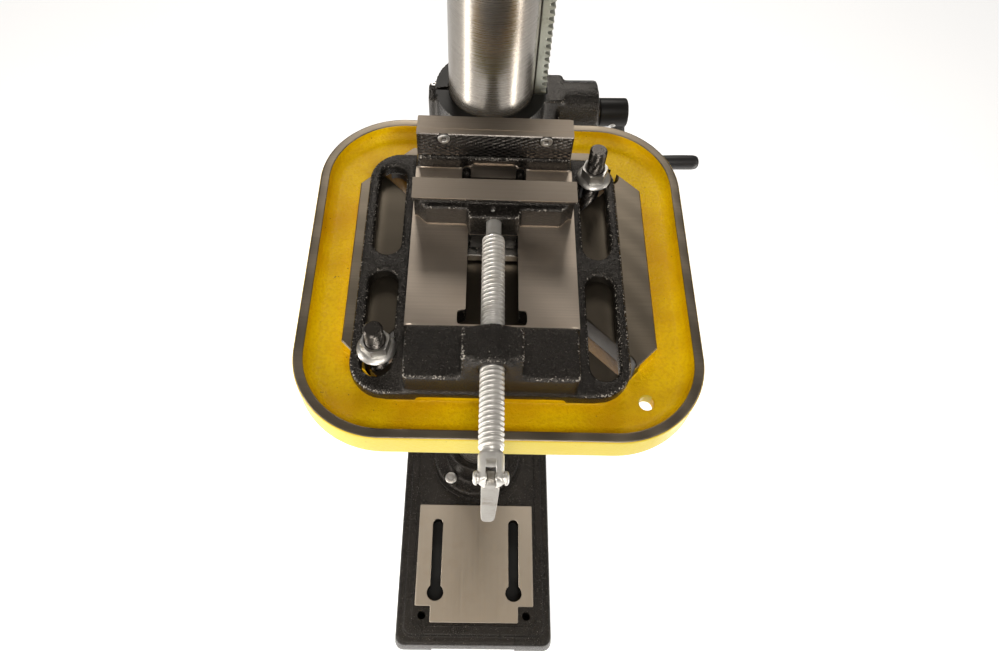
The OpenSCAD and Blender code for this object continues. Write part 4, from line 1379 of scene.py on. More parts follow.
@dataclass
class Table(Assembly):
    """The trough table: rim, trough, octagonal work face, slots, drain, ribs and stem."""

    body: str = "table_unit"
    half: float = 127 * MM
    corner: float = 58 * MM
    wall: float = 6.6 * MM
    octagon_half: float = 97.9 * MM
    octagon_sum: float = 161.4 * MM
    slot_near: float = 36.2 * MM
    slot_far: float = 114.6 * MM
    columns: int = 720

    def _angles(self) -> Array:
        """Works out the directions of the columns.

        Returns:
            The angles, with those of the octagon's corners among them.
        """
        angles = np.linspace(0, 2 * math.pi, self.columns, endpoint=False)
        k = self.octagon_sum - self.octagon_half
        first = math.atan2(k, self.octagon_half)
        for quarter in range(4):
            for corner in (first, math.pi / 2 - first):
                at = corner + quarter * math.pi / 2
                angles[np.argmin(np.abs(angles - at))] = at
        return angles

    def _square(self, inset: float, angles: Array) -> Array:
        """The rounded square, inset, as its distance from the middle in each direction.

        On a straight side the distance is a / |cos t|. In a corner it is the far root of
        |d u - c| = r, with u the direction and c the corner's centre.

        Args:
            inset: how far it is inside the table's edge.
            angles: the directions.

        Returns:
            The distances.
        """
        a, r = self.half - inset, max(self.corner - inset, 0.002)
        c = a - r
        x, y = np.abs(np.cos(angles)), np.abs(np.sin(angles))
        flat = np.minimum(a / np.maximum(x, 1e-9), a / np.maximum(y, 1e-9))
        inner = c * (x + y)
        root = inner + np.sqrt(np.maximum(inner * inner - 2 * c * c + r * r, 0))
        in_corner = (flat * x > c) & (flat * y > c)
        return np.where(in_corner, root, flat)

    def _octagon(self, inset: float, angles: Array) -> Array:
        """The octagon, inset, as its distance from the middle in each direction.

        Args:
            inset: how far it is inside the octagon's edge.
            angles: the directions.

        Returns:
            The distances.
        """
        x, y = np.abs(np.cos(angles)), np.abs(np.sin(angles))
        side = (self.octagon_half - inset) / np.maximum(np.maximum(x, y), 1e-9)
        cut_off = (self.octagon_sum - inset * math.sqrt(2)) / (x + y)
        return np.minimum(side, cut_off)

    def top(self) -> bpy.types.Object:
        """Builds the table from its underside's edge over the rim and trough to the middle.

        Every row is a closed line r(t) about the middle; the rows between the trough's wall and
        the octagon's foot are means of the two outlines.

        Returns:
            The table without slots.
        """
        t = self._angles()
        rim = softened([
            (0.0105, 0.9120 - 0.0178, 0), (0.0012, 0.8936, 0.001), (0.0, 0.8955, 0.0015),
            (0.0, 0.9153, 0.0009), (0.0011, 0.9160, 0.0005), (0.0062, 0.91605, 0.0004),
            (0.0068, 0.9150, 0.0008), (0.0080, 0.9105, 0.003), (0.0125, 0.9071, 0.0035),
            (0.0160, 0.9070, 0)], 5)
        rows = [(self._square(s, t), z) for s, z in rim]
        wall_foot = rows[-1][0]
        foot = self._octagon(-0.0016, t)
        rows += [((1 - w) * wall_foot + w * foot, 0.9070) for w in (0.25, 0.5, 0.75)]
        side = softened([(-0.0016, 0.9070, 0), (-0.0002, 0.9072, 0.0008), (0.0, 0.9090, 0.0008),
                         (0.0, 0.9163, 0.0), (0.0007, 0.9170, 0.0), (0.0012, 0.9170, 0)], 4)
        rows += [(self._octagon(s, t), z) for s, z in side]
        rows += [(rows[-1][0] * share, 0.9170) for share in (0.8, 0.55, 0.3)]
        grid = np.stack([np.stack([r * np.cos(t), r * np.sin(t), np.full_like(t, z)], axis=1)
                         for r, z in rows])
        skin = Skin().sheet(grid).cap(grid[-1])
        under = softened([(0.0105, 0.8942, 0), (0.0120, 0.8990, 0.002), (0.0200, 0.8992, 0)], 4)
        below = np.stack([np.stack([self._square(s, t) * np.cos(t), self._square(s, t) * np.sin(t),
                                    np.full_like(t, z)], axis=1) for s, z in under])
        skin.sheet(below).cap(below[-1])
        return skin.make("table_casting", 30)

    def make(self) -> None:
        """Builds the table and cuts its slots."""
        top = self.top()
        cutter, below = Skin(), Skin()
        for quarter in range(4):
            angle = math.radians(45 + 90 * quarter)
            middle, half = (self.slot_near + self.slot_far) / 2, (self.slot_far - self.slot_near) / 2
            rings = [level(outline(half + grow, 0.0078 + grow, 0.0078 + grow, 16, (middle, 0)), z)
                     for grow, z in ((0, 0.876), (0, 0.9164), (0.0008, 0.9172), (0.0008, 0.9174))]
            below.block((0.020, -0.0136, 0.879), (0.120, 0.0136, 0.9005), 0.001, angle)
            cutter.sheet(turned_about(np.stack(rings), angle))
            cutter.cap(turned_about(rings[0], angle)).cap(turned_about(rings[-1], angle))
        slots = cutter.make("slot_cutter")
        drain = softened([(0.0, 0.88, 0), (0.00465, 0.88, 0), (0.00465, 0.9062, 0.0003),
                          (0.0058, 0.9074, 0), (0.0, 0.9074, 0)], 3)
        cutter.turned(Axis((0.0903, -0.0965, 0)), drain, 40)
        cut(top, cutter.make("table_cutter"), 30)
        for long_x, long_y in ((0.115, 0.0035), (0.0035, 0.115)):
            below.block((-long_x, -long_y, 0.8905), (long_x, long_y, 0.9005), 0.001)
        below.turned(COLUMN_AXIS, softened([
            (0.0, 0.800, 0), (0.016, 0.800, 0.0012), (0.016, 0.868, 0.0005), (0.026, 0.8685, 0.002),
            (0.0272, 0.872, 0.002), (0.0272, 0.893, 0.003), (0.032, 0.8995, 0)]), 64)
        under = below.make("table_below")
        cut(under, slots, 30)
        table = join("table_casting", top, under)
        shift = np.array([TABLE_CENTRE[0], TABLE_CENTRE[1], 0])
        move_points(table.data, points_of(table.data) + shift)
        self.place(table, "yellow_paint", self.finishes.yellow, "table")

        def away(at: Array) -> Array:
            """Distances from the table's middle."""
            return np.hypot(*(at - shift)[:, :2].T)

        def work_face(at: Array, to: Array) -> Array:
            """Faces of the octagon's top and of the rim's top."""
            near = np.abs(at - shift)
            top_face = (at[:, 2] > 0.91655) & (to[:, 2] > 0.3)
            far = (np.maximum(near[:, 0], near[:, 1]) > 0.100) | (away(at) > 0.118)
            return top_face | ((at[:, 2] > 0.9156) & (to[:, 2] > 0.4) & far)
        second_material(table, self.finishes.table_metal, work_face)

        def slot_wall(at: Array, to: Array) -> Array:
            """Faces of the slots' walls."""
            near = np.abs(at - shift)
            return ((at[:, 2] < 0.9166) & (np.abs(to[:, 2]) < 0.3)
                    & (away(at) < self.slot_far + 0.0009) & (away(at) > self.slot_near - 0.0007)
                    & (np.abs(near[:, 0] - near[:, 1]) < 0.0118))
        # Painted shade in the slots: the lower walls take the darker yellow, and the bare milled upper
        # walls are blackened with the oxide finish.
        second_material(table, self.finishes.painted_shade_yellow,
                        lambda at, to: slot_wall(at, to) & (at[:, 2] > 0.8755))
        second_material(table, self.finishes.oxide,
                        lambda at, to: slot_wall(at, to) & (at[:, 2] > 0.9062))

        def outer_wall(at: Array, to: Array) -> Array:
            """Faces of the rim's outer wall."""
            outward = np.sum((at - shift)[:, :2] * to[:, :2], axis=1) > 0
            return ((at[:, 2] > 0.893) & (at[:, 2] < 0.9157) & (np.abs(to[:, 2]) < 0.75) & outward
                    & (away(at) > 0.1262))
        # Painted light: the rim's outer wall takes the paler copy of the yellow.
        second_material(table, self.finishes.lit_rim_yellow, outer_wall)
        self.report()


# The vise


@dataclass
class Vise(Assembly):
    """The screw vise that is bolted to the table."""

    body: str = "table_unit"
    jaw_half: float = 50.8 * MM
    screw_radius: float = 7.0 * MM
    pitch: float = 3.0 * MM
    pin_y: float = -162.3 * MM
    fixed_face: float = 60.1 * MM
    plate_screw_x: float = 33.2 * MM
    plate_screw_z: float = 965.3 * MM

    @staticmethod
    def _at_vise(points: Array) -> Array:
        """Moves points from the vise's own axes to the frame's."""
        return points + np.array([VISE_X, VISE_Y, 0.0])

    def castings(self) -> None:
        """Builds the body and the moving jaw from the CAD nodes."""
        x, y = VISE_X, VISE_Y
        edge = self.jaw_half + 0.0008
        body = Casting("vise_body", 0.00125, 6, planes=(
            Plane(2, WAYS_Z, 0.0008, (x - 0.0535, y - 0.0652, 0), (x + 0.0535, y + 0.0578, 9)),
            Plane(2, JAW_TOP, 0.0009, (x - edge, y + 0.060, 0), (x + edge, y + 0.079, 9)),
            Plane(2, 0.935, 0.0008, (x - 0.025, y + 0.0548, 0), (x + 0.025, y + 0.0675, 9)),
            Plane(1, y + 0.0651, 0.0009, (x - edge, -9, 0.9508), (x + edge, 9, 9)),
        )).make("vise_body_casting")
        self.place(body, "black_cast", self.finishes.cast, "vise_body")
        second_material(body, self.finishes.ground,
                        lambda at, to: (at[:, 2] > JAW_TOP - 0.0003) & (to[:, 2] > 0.9))
        moving = Casting("moving_jaw", 0.0009, 6, planes=(
            Plane(2, JAW_TOP, 0.0008, (x - edge, y + 0.004, 0), (x + edge, y + 0.026, 9)),
            Plane(2, WAYS_Z + 0.0001, 0.0006),
            Plane(1, y + 0.0191, 0.0008, (x - edge, -9, 0.9448), (x + edge, 9, 9)),
        )).make("moving_jaw_casting")
        self.place(moving, "black_cast", self.finishes.jaw, "moving_jaw", body="jaw_unit")

    def jaw_plate(self, name: str, node: str, back: float, face: float, screw_z: float,
                  low: float, body: str) -> None:
        """Builds a hardened plate whose gripping face is cut in a diamond pattern.

        The face's depth is the smaller of two sawtooth waves that cross at a flat angle:
        d = min(saw((x / 2 + z) / p), saw((x / 2 - z) / p)) * 0.5 mm.

        Args:
            name: the piece's name.
            node: the CAD node that it replaces.
            back: y of the plate's back in the vise's axes.
            face: y of its gripping face.
            screw_z: height of its screws.
            low: height of its lower edge.
            body: the body that it moves with.
        """
        way = math.copysign(1.0, face - back)
        high = JAW_TOP
        xs = np.linspace(-self.jaw_half + 0.0006, self.jaw_half - 0.0006, 300)
        zs = np.linspace(low + 0.0005, high - 0.0007, 76)
        gx, gz = np.meshgrid(xs, zs)
        pitch = 0.0031
        first = np.abs(np.mod((gx * 0.5 + gz) / pitch, 1.0) - 0.5) * 2
        second = np.abs(np.mod((gx * 0.5 - gz) / pitch, 1.0) - 0.5) * 2
        groove = np.minimum(np.clip(first * 3.2, 0, 1), np.clip(second * 3.2, 0, 1))
        border = np.minimum.reduce([gx - xs[0], xs[-1] - gx, gz - zs[0], zs[-1] - gz])
        depth = (1 - groove) * 0.0005 * np.clip(border / 0.0008, 0, 1)
        pocket = np.zeros_like(gx)
        for side in (-1, 1):
            away = np.hypot(gx - side * self.plate_screw_x, gz - screw_z)
            pocket = np.maximum(pocket, np.clip((0.0049 - away) / 0.0004, 0, 1))
        depth = depth * (1 - pocket) + pocket * 0.0012
        grid = np.stack([gx, face - way * depth, gz], axis=-1)
        skin = Skin().sheet(grid, False)
        rings = [np.concatenate([grid[0], grid[1:, -1], grid[-1, -2::-1], grid[-2:0:-1, 0]])]
        middle = np.array([0.0, 0.0, (low + high) / 2])
        reach = np.array([xs[-1], 1.0, (zs[-1] - zs[0]) / 2])
        chamfer = 0.0006
        for y in (face - way * chamfer, back):
            ring = (rings[0] - middle) * ((reach + chamfer) / reach) + middle
            ring[:, 1] = y
            rings.append(ring)
        skin.sheet(np.stack(rings)).cap(rings[-1])
        piece = skin.shifted(self._at_vise).make(name, 28)
        self.place(piece, "black_oxide", self.finishes.plate, node, body=body)
        second_material(piece, self.finishes.ground,
                        lambda at, to: (at[:, 2] > high - 0.0004) & (to[:, 2] > 0.9))

    def screw(self) -> None:
        """Builds the screw with its thread, its forked end and the pin."""
        axis = Axis((0, 0, SCREW_Z), (0, 1, 0))
        start, end = -0.1485, -0.0080
        rows = int((end - start) / self.pitch * 14)
        heights = np.linspace(start, end, rows)
        limit = np.minimum(1.0, np.minimum((heights - start) / 0.0025, (end - heights) / 0.0025))
        profile = np.stack([0.0054 + (self.screw_radius - 0.0054) * np.clip(limit, 0.05, 1),
                            heights], axis=1)
        profile[limit >= 1, 0] = self.screw_radius
        profile = np.concatenate([[[0.0, start]], profile, [[0.0, end]]])
        thread = Skin().turned(axis, profile, 56, threaded(0.0058, self.screw_radius, self.pitch))
        thread.turned(axis, softened([
            (0.0, -0.0084, 0), (0.0047, -0.0083, 0.0), (0.0047, 0.0070, 0), (0.0037, 0.0072, 0),
            (0.0037, 0.0096, 0), (0.0047, 0.0098, 0), (0.0047, 0.0115, 0.0005), (0.0, 0.0119, 0)],
            3), 40)
        screw = thread.make("screw_thread", 60)
        fork = Skin().turned(axis, softened([
            (0.0, -0.1660, 0), (0.0056, -0.1660, 0.001), (0.0069, -0.1645, 0.001),
            (0.0070, -0.1500, 0.0006), (0.0060, -0.1482, 0.0004), (0.0, -0.1482, 0)], 4), 72
        ).make("screw_fork", 30)
        ring = outline(0.0029, 0.0155 / 2 + 0.002, 0.0005, 4, (0, -0.1636))
        slot = np.stack([level(ring, SCREW_Z + rise) for rise in (-0.009, 0.009)])
        cut(fork, Skin().solid(slot).make("fork_cutter"))
        bevelled(fork, 0.0004, 2)
        rounded = evaluated(fork)
        fork.modifiers.clear()
        fork.data = rounded
        screw = join("vise_screw_threaded", screw, fork)
        move_points(screw.data, self._at_vise(points_of(screw.data)))
        self.place(screw, "zinc", self.finishes.bright, "vise_screw", body="screw_unit")
        pin = softened([
            (0.0, -0.0094, 0), (0.0024, -0.0094, 0.0010), (0.0037, -0.0086, 0.0010),
            (0.0038, -0.0074, 0.0004), (0.0029, -0.0072, 0.0), (0.0029, 0.0072, 0.0),
            (0.0038, 0.0074, 0.0004), (0.0037, 0.0086, 0.0010), (0.0024, 0.0094, 0.0010),
            (0.0, 0.0094, 0)], 4)
        piece = Skin().turned(Axis((0, self.pin_y, SCREW_Z), (1, 0, 0)), pin, 40)
        self.place(piece.shifted(self._at_vise).make("clevis_pin_turned"), "zinc",
                   self.finishes.bright, "clevis_pin", body="screw_unit")

    def handle(self) -> None:
        """Builds the handle: a flat bar whose half width and thickness follow its length.

        Each ring is a rounded rectangle across the bar; the width swells from the eye to the
        shoulders and tapers to a rounded tip.
        """
        z = np.concatenate([np.linspace(0.0036, 0.0, 6), np.linspace(-0.002, -0.068, 45),
                            np.linspace(-0.0684, -0.0729, 9)])
        wide = np.interp(-z, [-0.0036, -0.0025, 0.0, 0.0076, 0.0110, 0.0150, 0.05, 0.066, 0.069,
                              0.0712, 0.0724, 0.0729],
                         [0.0016, 0.0025, 0.0026, 0.0026, 0.0046, 0.0049, 0.0045, 0.0041, 0.0034,
                          0.0026, 0.0017, 0.0009])
        thick = np.interp(-z, [-0.0036, -0.0025, 0.0, 0.006, 0.012, 0.069, 0.0722, 0.0729],
                          [0.0018, 0.0031, 0.0040, 0.0030, 0.0021, 0.0020, 0.0014, 0.0009])
        rings = [level(outline(w, t, 0.0010, 5, (0, self.pin_y), 2), SCREW_Z + h)
                 for h, w, t in zip(z, wide, thick)]
        bar = Skin().solid(np.stack(rings)).shifted(self._at_vise).make("vise_handle_bar", 40)
        self.place(bar, "zinc", self.finishes.dull, "vise_handle", body="handle_unit")

    def clamps(self) -> None:
        """Builds the two studs with their threads, washers and nuts."""
        for number, (x, y, top) in enumerate((
                (-0.0687, -0.0739, TABLE_Z + 0.0337), (0.0693, 0.0649, TABLE_Z + 0.0382))):
            base = TABLE_Z + 0.010
            heights = np.linspace(base - 0.056, top, int((top - base + 0.056) / 0.00018))
            fade = np.clip((top - heights) / 0.0012, 0, 1)
            profile = np.stack([0.0047 + 0.0012 * np.clip(fade, 0.0, 1), heights], axis=1)
            profile[fade >= 1, 0] = 0.0059
            profile = np.concatenate([[[0.0, heights[0]]], profile, [[0.0, top]]])
            stud = Skin().turned(Axis((x, y, 0)), profile, 40, threaded(0.0052, 0.0059, 0.0016))
            low = TABLE_Z - 0.0476
            stud.turned(Axis((x, y, 0)), softened([
                (0.0, low, 0), (0.0098, low, 0), (0.0098, low + 0.0064, 0), (0.0, low + 0.0066, 0)]),
                96, hexagon(0.01697, low + 0.03, 1.0))
            stud.turned(Axis((x, y, 0)), softened([
                (0.0, TABLE_Z - 0.0410, 0), (0.013, TABLE_Z - 0.0410, 0.0005),
                (0.013, TABLE_Z - 0.0381, 0.0005), (0.0, TABLE_Z - 0.0381, 0)]), 48)
            piece = stud.shifted(self._at_vise).make(f"vise_stud_{number + 1}", 32)
            self.place(piece, "black_oxide", self.finishes.plate,
                       *(["vise_studs"] if number == 0 else []))
            flange = softened([
                (0.0, base + 0.0002, 0), (0.0117, base + 0.0002, 0.0004), (0.0120, base + 0.0009, 0.0005),
                (0.0110, base + 0.0020, 0.0008), (0.0090, base + 0.0030, 0.0010),
                (0.0, base + 0.0031, 0)], 4)
            crown = base + 0.0106
            hexes = softened([
                (0.0, base + 0.002, 0), (0.0093, base + 0.002, 0), (0.0093, base + 0.0050, 0),
                (0.0093, base + 0.0078, 0), (0.0093, base + 0.0089, 0), (0.0093, base + 0.0098, 0),
                (0.0093, crown - 0.0003, 0), (0.0079, crown, 0.0003), (0.0068, crown, 0.0002),
                (0.0060, crown - 0.0008, 0.0002), (0.0057, crown - 0.0020, 0)], 3)
            nut = Skin().turned(COLUMN_AXIS, flange, 64)
            nut.turned(COLUMN_AXIS, hexes, 144, hexagon(0.016, crown, 0.93))
            spin = 0.30 if number == 0 else 0.12
            place = np.array([x, y, 0])
            nut.shifted(lambda p, spin=spin, place=place: turned_about(p, spin) + place)
            piece = nut.shifted(self._at_vise).make(f"vise_nut_{number + 1}", 30)
            self.place(piece, "zinc", self.finishes.zinc, *(["vise_nuts"] if number == 0 else []))

    def plate_screws(self) -> None:
        """Builds the countersunk screws with hexagon sockets that hold the fixed plate."""
        for side in (-1, 1):
            axis = Axis((side * self.plate_screw_x, self.fixed_face, self.plate_screw_z), (0, 1, 0))
            head = softened([
                (0.0, 0.0016, 0), (0.0016, 0.0016, 0), (0.0018, -0.0001, 0.0001),
                (0.0026, -0.0004, 0.0003), (0.0040, 0.0000, 0.0003), (0.0040, 0.0018, 0),
                (0.0025, 0.0020, 0), (0.0025, 0.0108, 0), (0.0, 0.0108, 0)], 4)

            def socket(profile: Array, angle: Array) -> Array:
                """A six-sided socket in the middle of the head."""
                wedge = np.mod(angle, math.pi / 3) - math.pi / 6
                radius = np.repeat(profile[:, :1], len(angle), axis=1)
                inner = (profile[:, :1] > 0.001) & (profile[:, :1] < 0.0019)
                return np.where(inner, profile[:, :1] * 0.95 / np.cos(wedge)[None], radius)
            piece = Skin().turned(axis, head, 48, socket).shifted(self._at_vise)
            piece = piece.make(f"fixed_plate_screw_{1 if side < 0 else 2}", 30)
            self.place(piece, "zinc", self.finishes.zinc,
                       *(["fixed_plate_screws"] if side < 0 else []))

    def make(self) -> None:
        """Builds everything in the assembly."""
        self.castings()
        self.jaw_plate("fixed_jaw_serrated", "fixed_jaw_plate", 0.0651, self.fixed_face,
                       self.plate_screw_z, WAYS_Z + 0.0091, "table_unit")
        self.jaw_plate("moving_jaw_serrated", "moving_jaw_plate", 0.0191, 0.0241, 0.962,
                       WAYS_Z + 0.003, "jaw_unit")
        self.screw()
        self.handle()
        self.clamps()
        self.plate_screws()
        self.dress_all(("moving_plate_screws", self.finishes.zinc, 0.0003),
                       ("jaw_keeper", self.finishes.steel, 0.0004))
        self.report()


# The head, which the photograph doesn't show


@dataclass
class Head(Assembly):
    """The head casting with its cover, motor, drive, quill, chuck, feed and switch."""

    cover_half: float = 104 * MM
    motor_radius: float = 66 * MM
    hinges: tuple[float, float] = (-130 * MM, 90 * MM)
    start_z: float = 1366 * MM
    stop_z: float = 1338 * MM

    def _stadium(self, half: float, z: float) -> Array:
        """A ring round both pulleys."""
        middle = (MOTOR_Y + SPINDLE_Y) / 2
        return level(outline(half, (MOTOR_Y - SPINDLE_Y) / 2 + half, half, 40, (0, middle), 24), z)

    def _shell(self, profile: Array) -> Skin:
        """Lofts a profile of (half width, z) round the pulleys, closed at both ends."""
        return Skin().solid(np.stack([self._stadium(half, z) for half, z in profile]))

    def _knuckles(self, skin: Skin, places: Sequence[tuple[float, float]], bore: bool) -> None:
        """Adds hinge knuckles.

        Args:
            skin: the skin to add them to.
            places: first and last y of each knuckle.
            bore: whether the pin's hole shows in them.
        """
        inner = 0.0021 if bore else 0.0
        for first, last in places:
            skin.turned(Axis((-self.cover_half - 0.005, 0, 1.436), (0, 1, 0)), softened([
                (inner, first, 0), (0.0045, first, 0.0005), (0.0045, last, 0.0005),
                (inner, last, 0)], 3), 32)

    def cover(self) -> None:
        """Builds the belt cover's pan and its lid."""
        h = self.cover_half
        pan = self._shell(softened([
            (h - 0.0025, 1.4032, 0), (h - 0.0025, 1.4378, 0.0006), (h, 1.4378, 0.0006),
            (h, 1.4002, 0.003), (h - 0.012, 1.4002, 0)], 5))
        self._knuckles(pan, [(y - 0.012, y + 0.012) for y in self.hinges], True)
        for y in self.hinges:
            pan.block((-h - 0.005, y - 0.012, 1.430), (-h + 0.001, y + 0.012, 1.437), 0.0008)
        tray = pan.make("cover_pan_pressing", 40)
        hole = Skin().turned(Axis((0, SPINDLE_Y, 0)), np.array(
            [[0, 1.39], [0.017, 1.39], [0.017, 1.41], [0, 1.41]]), 48)
        hole.solid(np.stack([level(outline(0.016, 0.0215, 0.016, 12, (0, MOTOR_Y - 0.0035)), z)
                             for z in (1.39, 1.41)]))
        cut(tray, hole.make("pan_cutter"), 40)
        self.place(tray, "black_sheet", self.finishes.sheet, "cover_pan")
        lid = self._shell(softened([
            (h - 0.0025, 1.4768, 0), (h - 0.0025, 1.4386, 0.0006), (h, 1.4386, 0.0006),
            (h, 1.4600, 0.0), (h, 1.4792, 0.011), (h - 0.022, 1.4795, 0.003),
            (h - 0.026, 1.4770, 0.003), (h - 0.040, 1.4770, 0.003), (h - 0.044, 1.4795, 0.003),
            (h - 0.056, 1.4795, 0)], 6))
        for y in self.hinges:
            self._knuckles(lid, [(y + s * 0.019 - 0.0065, y + s * 0.019 + 0.0065)
                                 for s in (-1, 1)], False)
            lid.turned(Axis((-h - 0.005, 0, 1.436), (0, 1, 0)), softened([
                (0.0, y - 0.026, 0), (0.002, y - 0.026, 0.0004), (0.002, y + 0.026, 0.0004),
                (0.0, y + 0.026, 0)], 2), 24)
            for s in (-1, 1):
                low, high = y + s * 0.019 - 0.0065, y + s * 0.019 + 0.0065
                lid.block((-h - 0.0095, low, 1.4385), (-h + 0.001, high, 1.444), 0.0008)
                lid.block((-h - 0.0095, low, 1.436), (-h - 0.005, high, 1.439), 0.0004)
        lid.turned(Axis((0, SPINDLE_Y + 0.090, 1.452), (1, 0, 0)), softened([
            (0.0, h - 0.001, 0), (0.0075, h, 0.0006), (0.0070, h + 0.0025, 0.002),
            (0.0046, h + 0.0060, 0.003), (0.0048, h + 0.0100, 0.003), (0.0080, h + 0.0135, 0.004),
            (0.0080, h + 0.0205, 0.003), (0.0060, h + 0.0238, 0.002), (0.0, h + 0.0240, 0)], 6), 40)
        self.place(lid.make("cover_lid_pressing", 40), "black_sheet", self.finishes.sheet,
                   "cover_lid", body="lid")

    def motor(self) -> None:
        """Builds the ribbed motor with its end bells, mounting block and terminal box.

        Between the bells the radius is R - 4 mm * (1 - rib), with rib a rounded wave of the
        angle that has 40 crests.
        """
        r = self.motor_radius
        profile = softened([
            (0.0, 1.1980, 0), (0.050, 1.1980, 0.004), (r - 0.008, 1.2010, 0.006),
            (r - 0.002, 1.2080, 0.004), (r, 1.2200, 0.003), (r, 1.2290, 0.002),
            (r - 0.0005, 1.2300, 0), (r - 0.0004, 1.2320, 0), (r - 0.0004, 1.3580, 0),
            (r - 0.0005, 1.3600, 0), (r, 1.3610, 0.002), (r, 1.3740, 0.006), (r - 0.010, 1.3845, 0.006),
            (0.044, 1.3860, 0.004), (0.040, 1.3915, 0.003), (0.013, 1.3918, 0.001),
            (0.0095, 1.3890, 0.001), (0.0092, 1.3010, 0), (0.0, 1.3010, 0)], 5)

        def ribs(rows: Array, angle: Array) -> Array:
            """Cuts the grooves between the ribs."""
            wave = np.clip(np.cos(angle * 40) * 1.6 + 0.5, 0, 1)[None, :]
            between = ((rows[:, 1:2] > 1.2305) & (rows[:, 1:2] < 1.3595)
                       & (rows[:, :1] > r - 0.001))
            return np.where(between, rows[:, :1] - 0.004 * (1 - wave), rows[:, :1])
        skin = Skin().turned(Axis((0, MOTOR_Y, 0)), profile, 320, ribs)
        skin.block((-0.048, 0.104, 1.250), (0.048, 0.165, 1.376), 0.004)
        box = softened([(0.004, 1.250, 0), (0.0, 1.253, 0.002), (0.0, 1.337, 0.002),
                        (0.004, 1.340, 0)], 4)
        rings = [level(outline(0.021 - s, 0.028 - s, 0.006, 6, (0.075, MOTOR_Y)), z)
                 for s, z in box]
        skin.solid(np.stack(rings))
        for z in (1.262, 1.328):
            for y in (-0.019, 0.019):
                skin.turned(Axis((0.0945, MOTOR_Y + y, z), (1, 0, 0)), softened([
                    (0.0, 0.0, 0), (0.0032, 0.0, 0), (0.0032, 0.0010, 0.0006),
                    (0.0, 0.0014, 0)], 3), 24)
        self.place(skin.make("motor_casing", 40), "black_cast", self.finishes.head, "motor",
                   body="motor_unit")

    def quill(self) -> None:
        """Builds the chuck; the quill and the spindle keep their CAD shapes."""
        y = SPINDLE_Y
        body = softened([
            (0.0066, 1.1372, 0), (0.0066, 1.1362, 0.0004), (0.0095, 1.1360, 0.001),
            (0.0130, 1.1362, 0.001), (0.0180, 1.1400, 0.001), (0.0180, 1.1500, 0.0),
            (0.0232, 1.1502, 0.0008), (0.0240, 1.1512, 0.0006), (0.0240, 1.1690, 0.002),
            (0.0220, 1.1738, 0.0015), (0.0082, 1.1740, 0.0006), (0.0081, 1.1620, 0),
            (0.0, 1.1620, 0)], 4)
        chuck = Skin().turned(Axis((0, y, 0)), body, 96)
        chuck.turned(Axis((0, y, 0)), np.array([[0.0066, 1.1372], [0.0066, 1.1495],
                                                [0.0, 1.1495]]), 48)
        piece = chuck.make("chuck_body_turned", 30)
        cutter = Skin()
        for degrees in (90, 210, 330):
            a = math.radians(degrees)
            direction = np.array([math.sin(math.radians(15)) * math.cos(a),
                                  math.sin(math.radians(15)) * math.sin(a),
                                  math.cos(math.radians(15))])
            foot = np.array([0.0065 * math.cos(a), y + 0.0065 * math.sin(a), 1.133])
            cutter.turned(Axis(tuple(foot), tuple(direction)), np.array(
                [[0, -0.002], [0.00305, -0.002], [0.00305, 0.032], [0, 0.032]]), 24)
        cut(piece, cutter.make("chuck_cutter"), 30)
        self.place(piece, "steel", self.finishes.steel, "chuck_body", body="spindle_unit")
        sleeve = softened([
            (0.01805, 1.1370, 0), (0.0215, 1.1366, 0.001), (0.0262, 1.1385, 0.002),
            (0.0268, 1.1405, 0.0005), (0.0268, 1.1440, 0), (0.0270, 1.1442, 0),
            (0.0270, 1.1490, 0.0), (0.0264, 1.1495, 0.0), (0.01805, 1.1496, 0)], 4)

        def flutes(rows: Array, angle: Array) -> Array:
            """The teeth of the key's ring in the sleeve's upper edge."""
            wave = np.clip(-np.cos(angle * 24) * 1.8 - 0.2, 0, 1)[None, :]
            upper = (rows[:, 1:2] > 1.1441) & (rows[:, :1] > 0.0262)
            return np.where(upper, rows[:, :1] - 0.0014 * wave, rows[:, :1])
        grid = Axis((0, y, 0)).turned(sleeve, 288, flutes)
        ring = Skin().sheet(np.concatenate([grid, grid[:1]])).make("chuck_sleeve_toothed", 30)
        self.place(ring, "steel", self.finishes.steel, "chuck_sleeve", body="sleeve")
        for name in "abc":
            self.dress(f"chuck_jaw_{name}", self.finishes.steel, 0.0008)
        self.dress_all(("spindle", self.finishes.steel, 0.0005),
                       ("quill", self.finishes.steel, 0.0005))

    def feed(self) -> None:
        """Builds the feed hub's cap, the knobs and the levers."""
        self.dress("feed_hub", self.finishes.alloy, 0.0012)
        for name, degrees in (("a", 60), ("b", 180), ("c", 300)):
            a = math.radians(degrees)
            axis = Axis((0.097, FEED_Y, FEED_Z), (0.0, math.cos(a), math.sin(a)))
            knob = softened([
                (0.0, 0.1284, 0), (0.0050, 0.1284, 0), (0.0050, 0.1180, 0.0002),
                (0.0066, 0.1178, 0.001), (0.0088, 0.1195, 0.004), (0.0132, 0.1250, 0.006),
                (0.0140, 0.1310, 0.006), (0.0126, 0.1390, 0.006), (0.0080, 0.1434, 0.005),
                (0.0, 0.1439, 0)], 7)
            self.place(Skin().turned(axis, knob, 56).make(f"feed_knob_{name}_ball"),
                       "black_plastic", self.finishes.plastic, f"feed_knob_{name}",
                       body="feed_unit")
            self.dress(f"feed_rod_{name}", self.finishes.zinc, 0.0006)
        self.dress("spring_cap", self.finishes.zinc, 0.002)

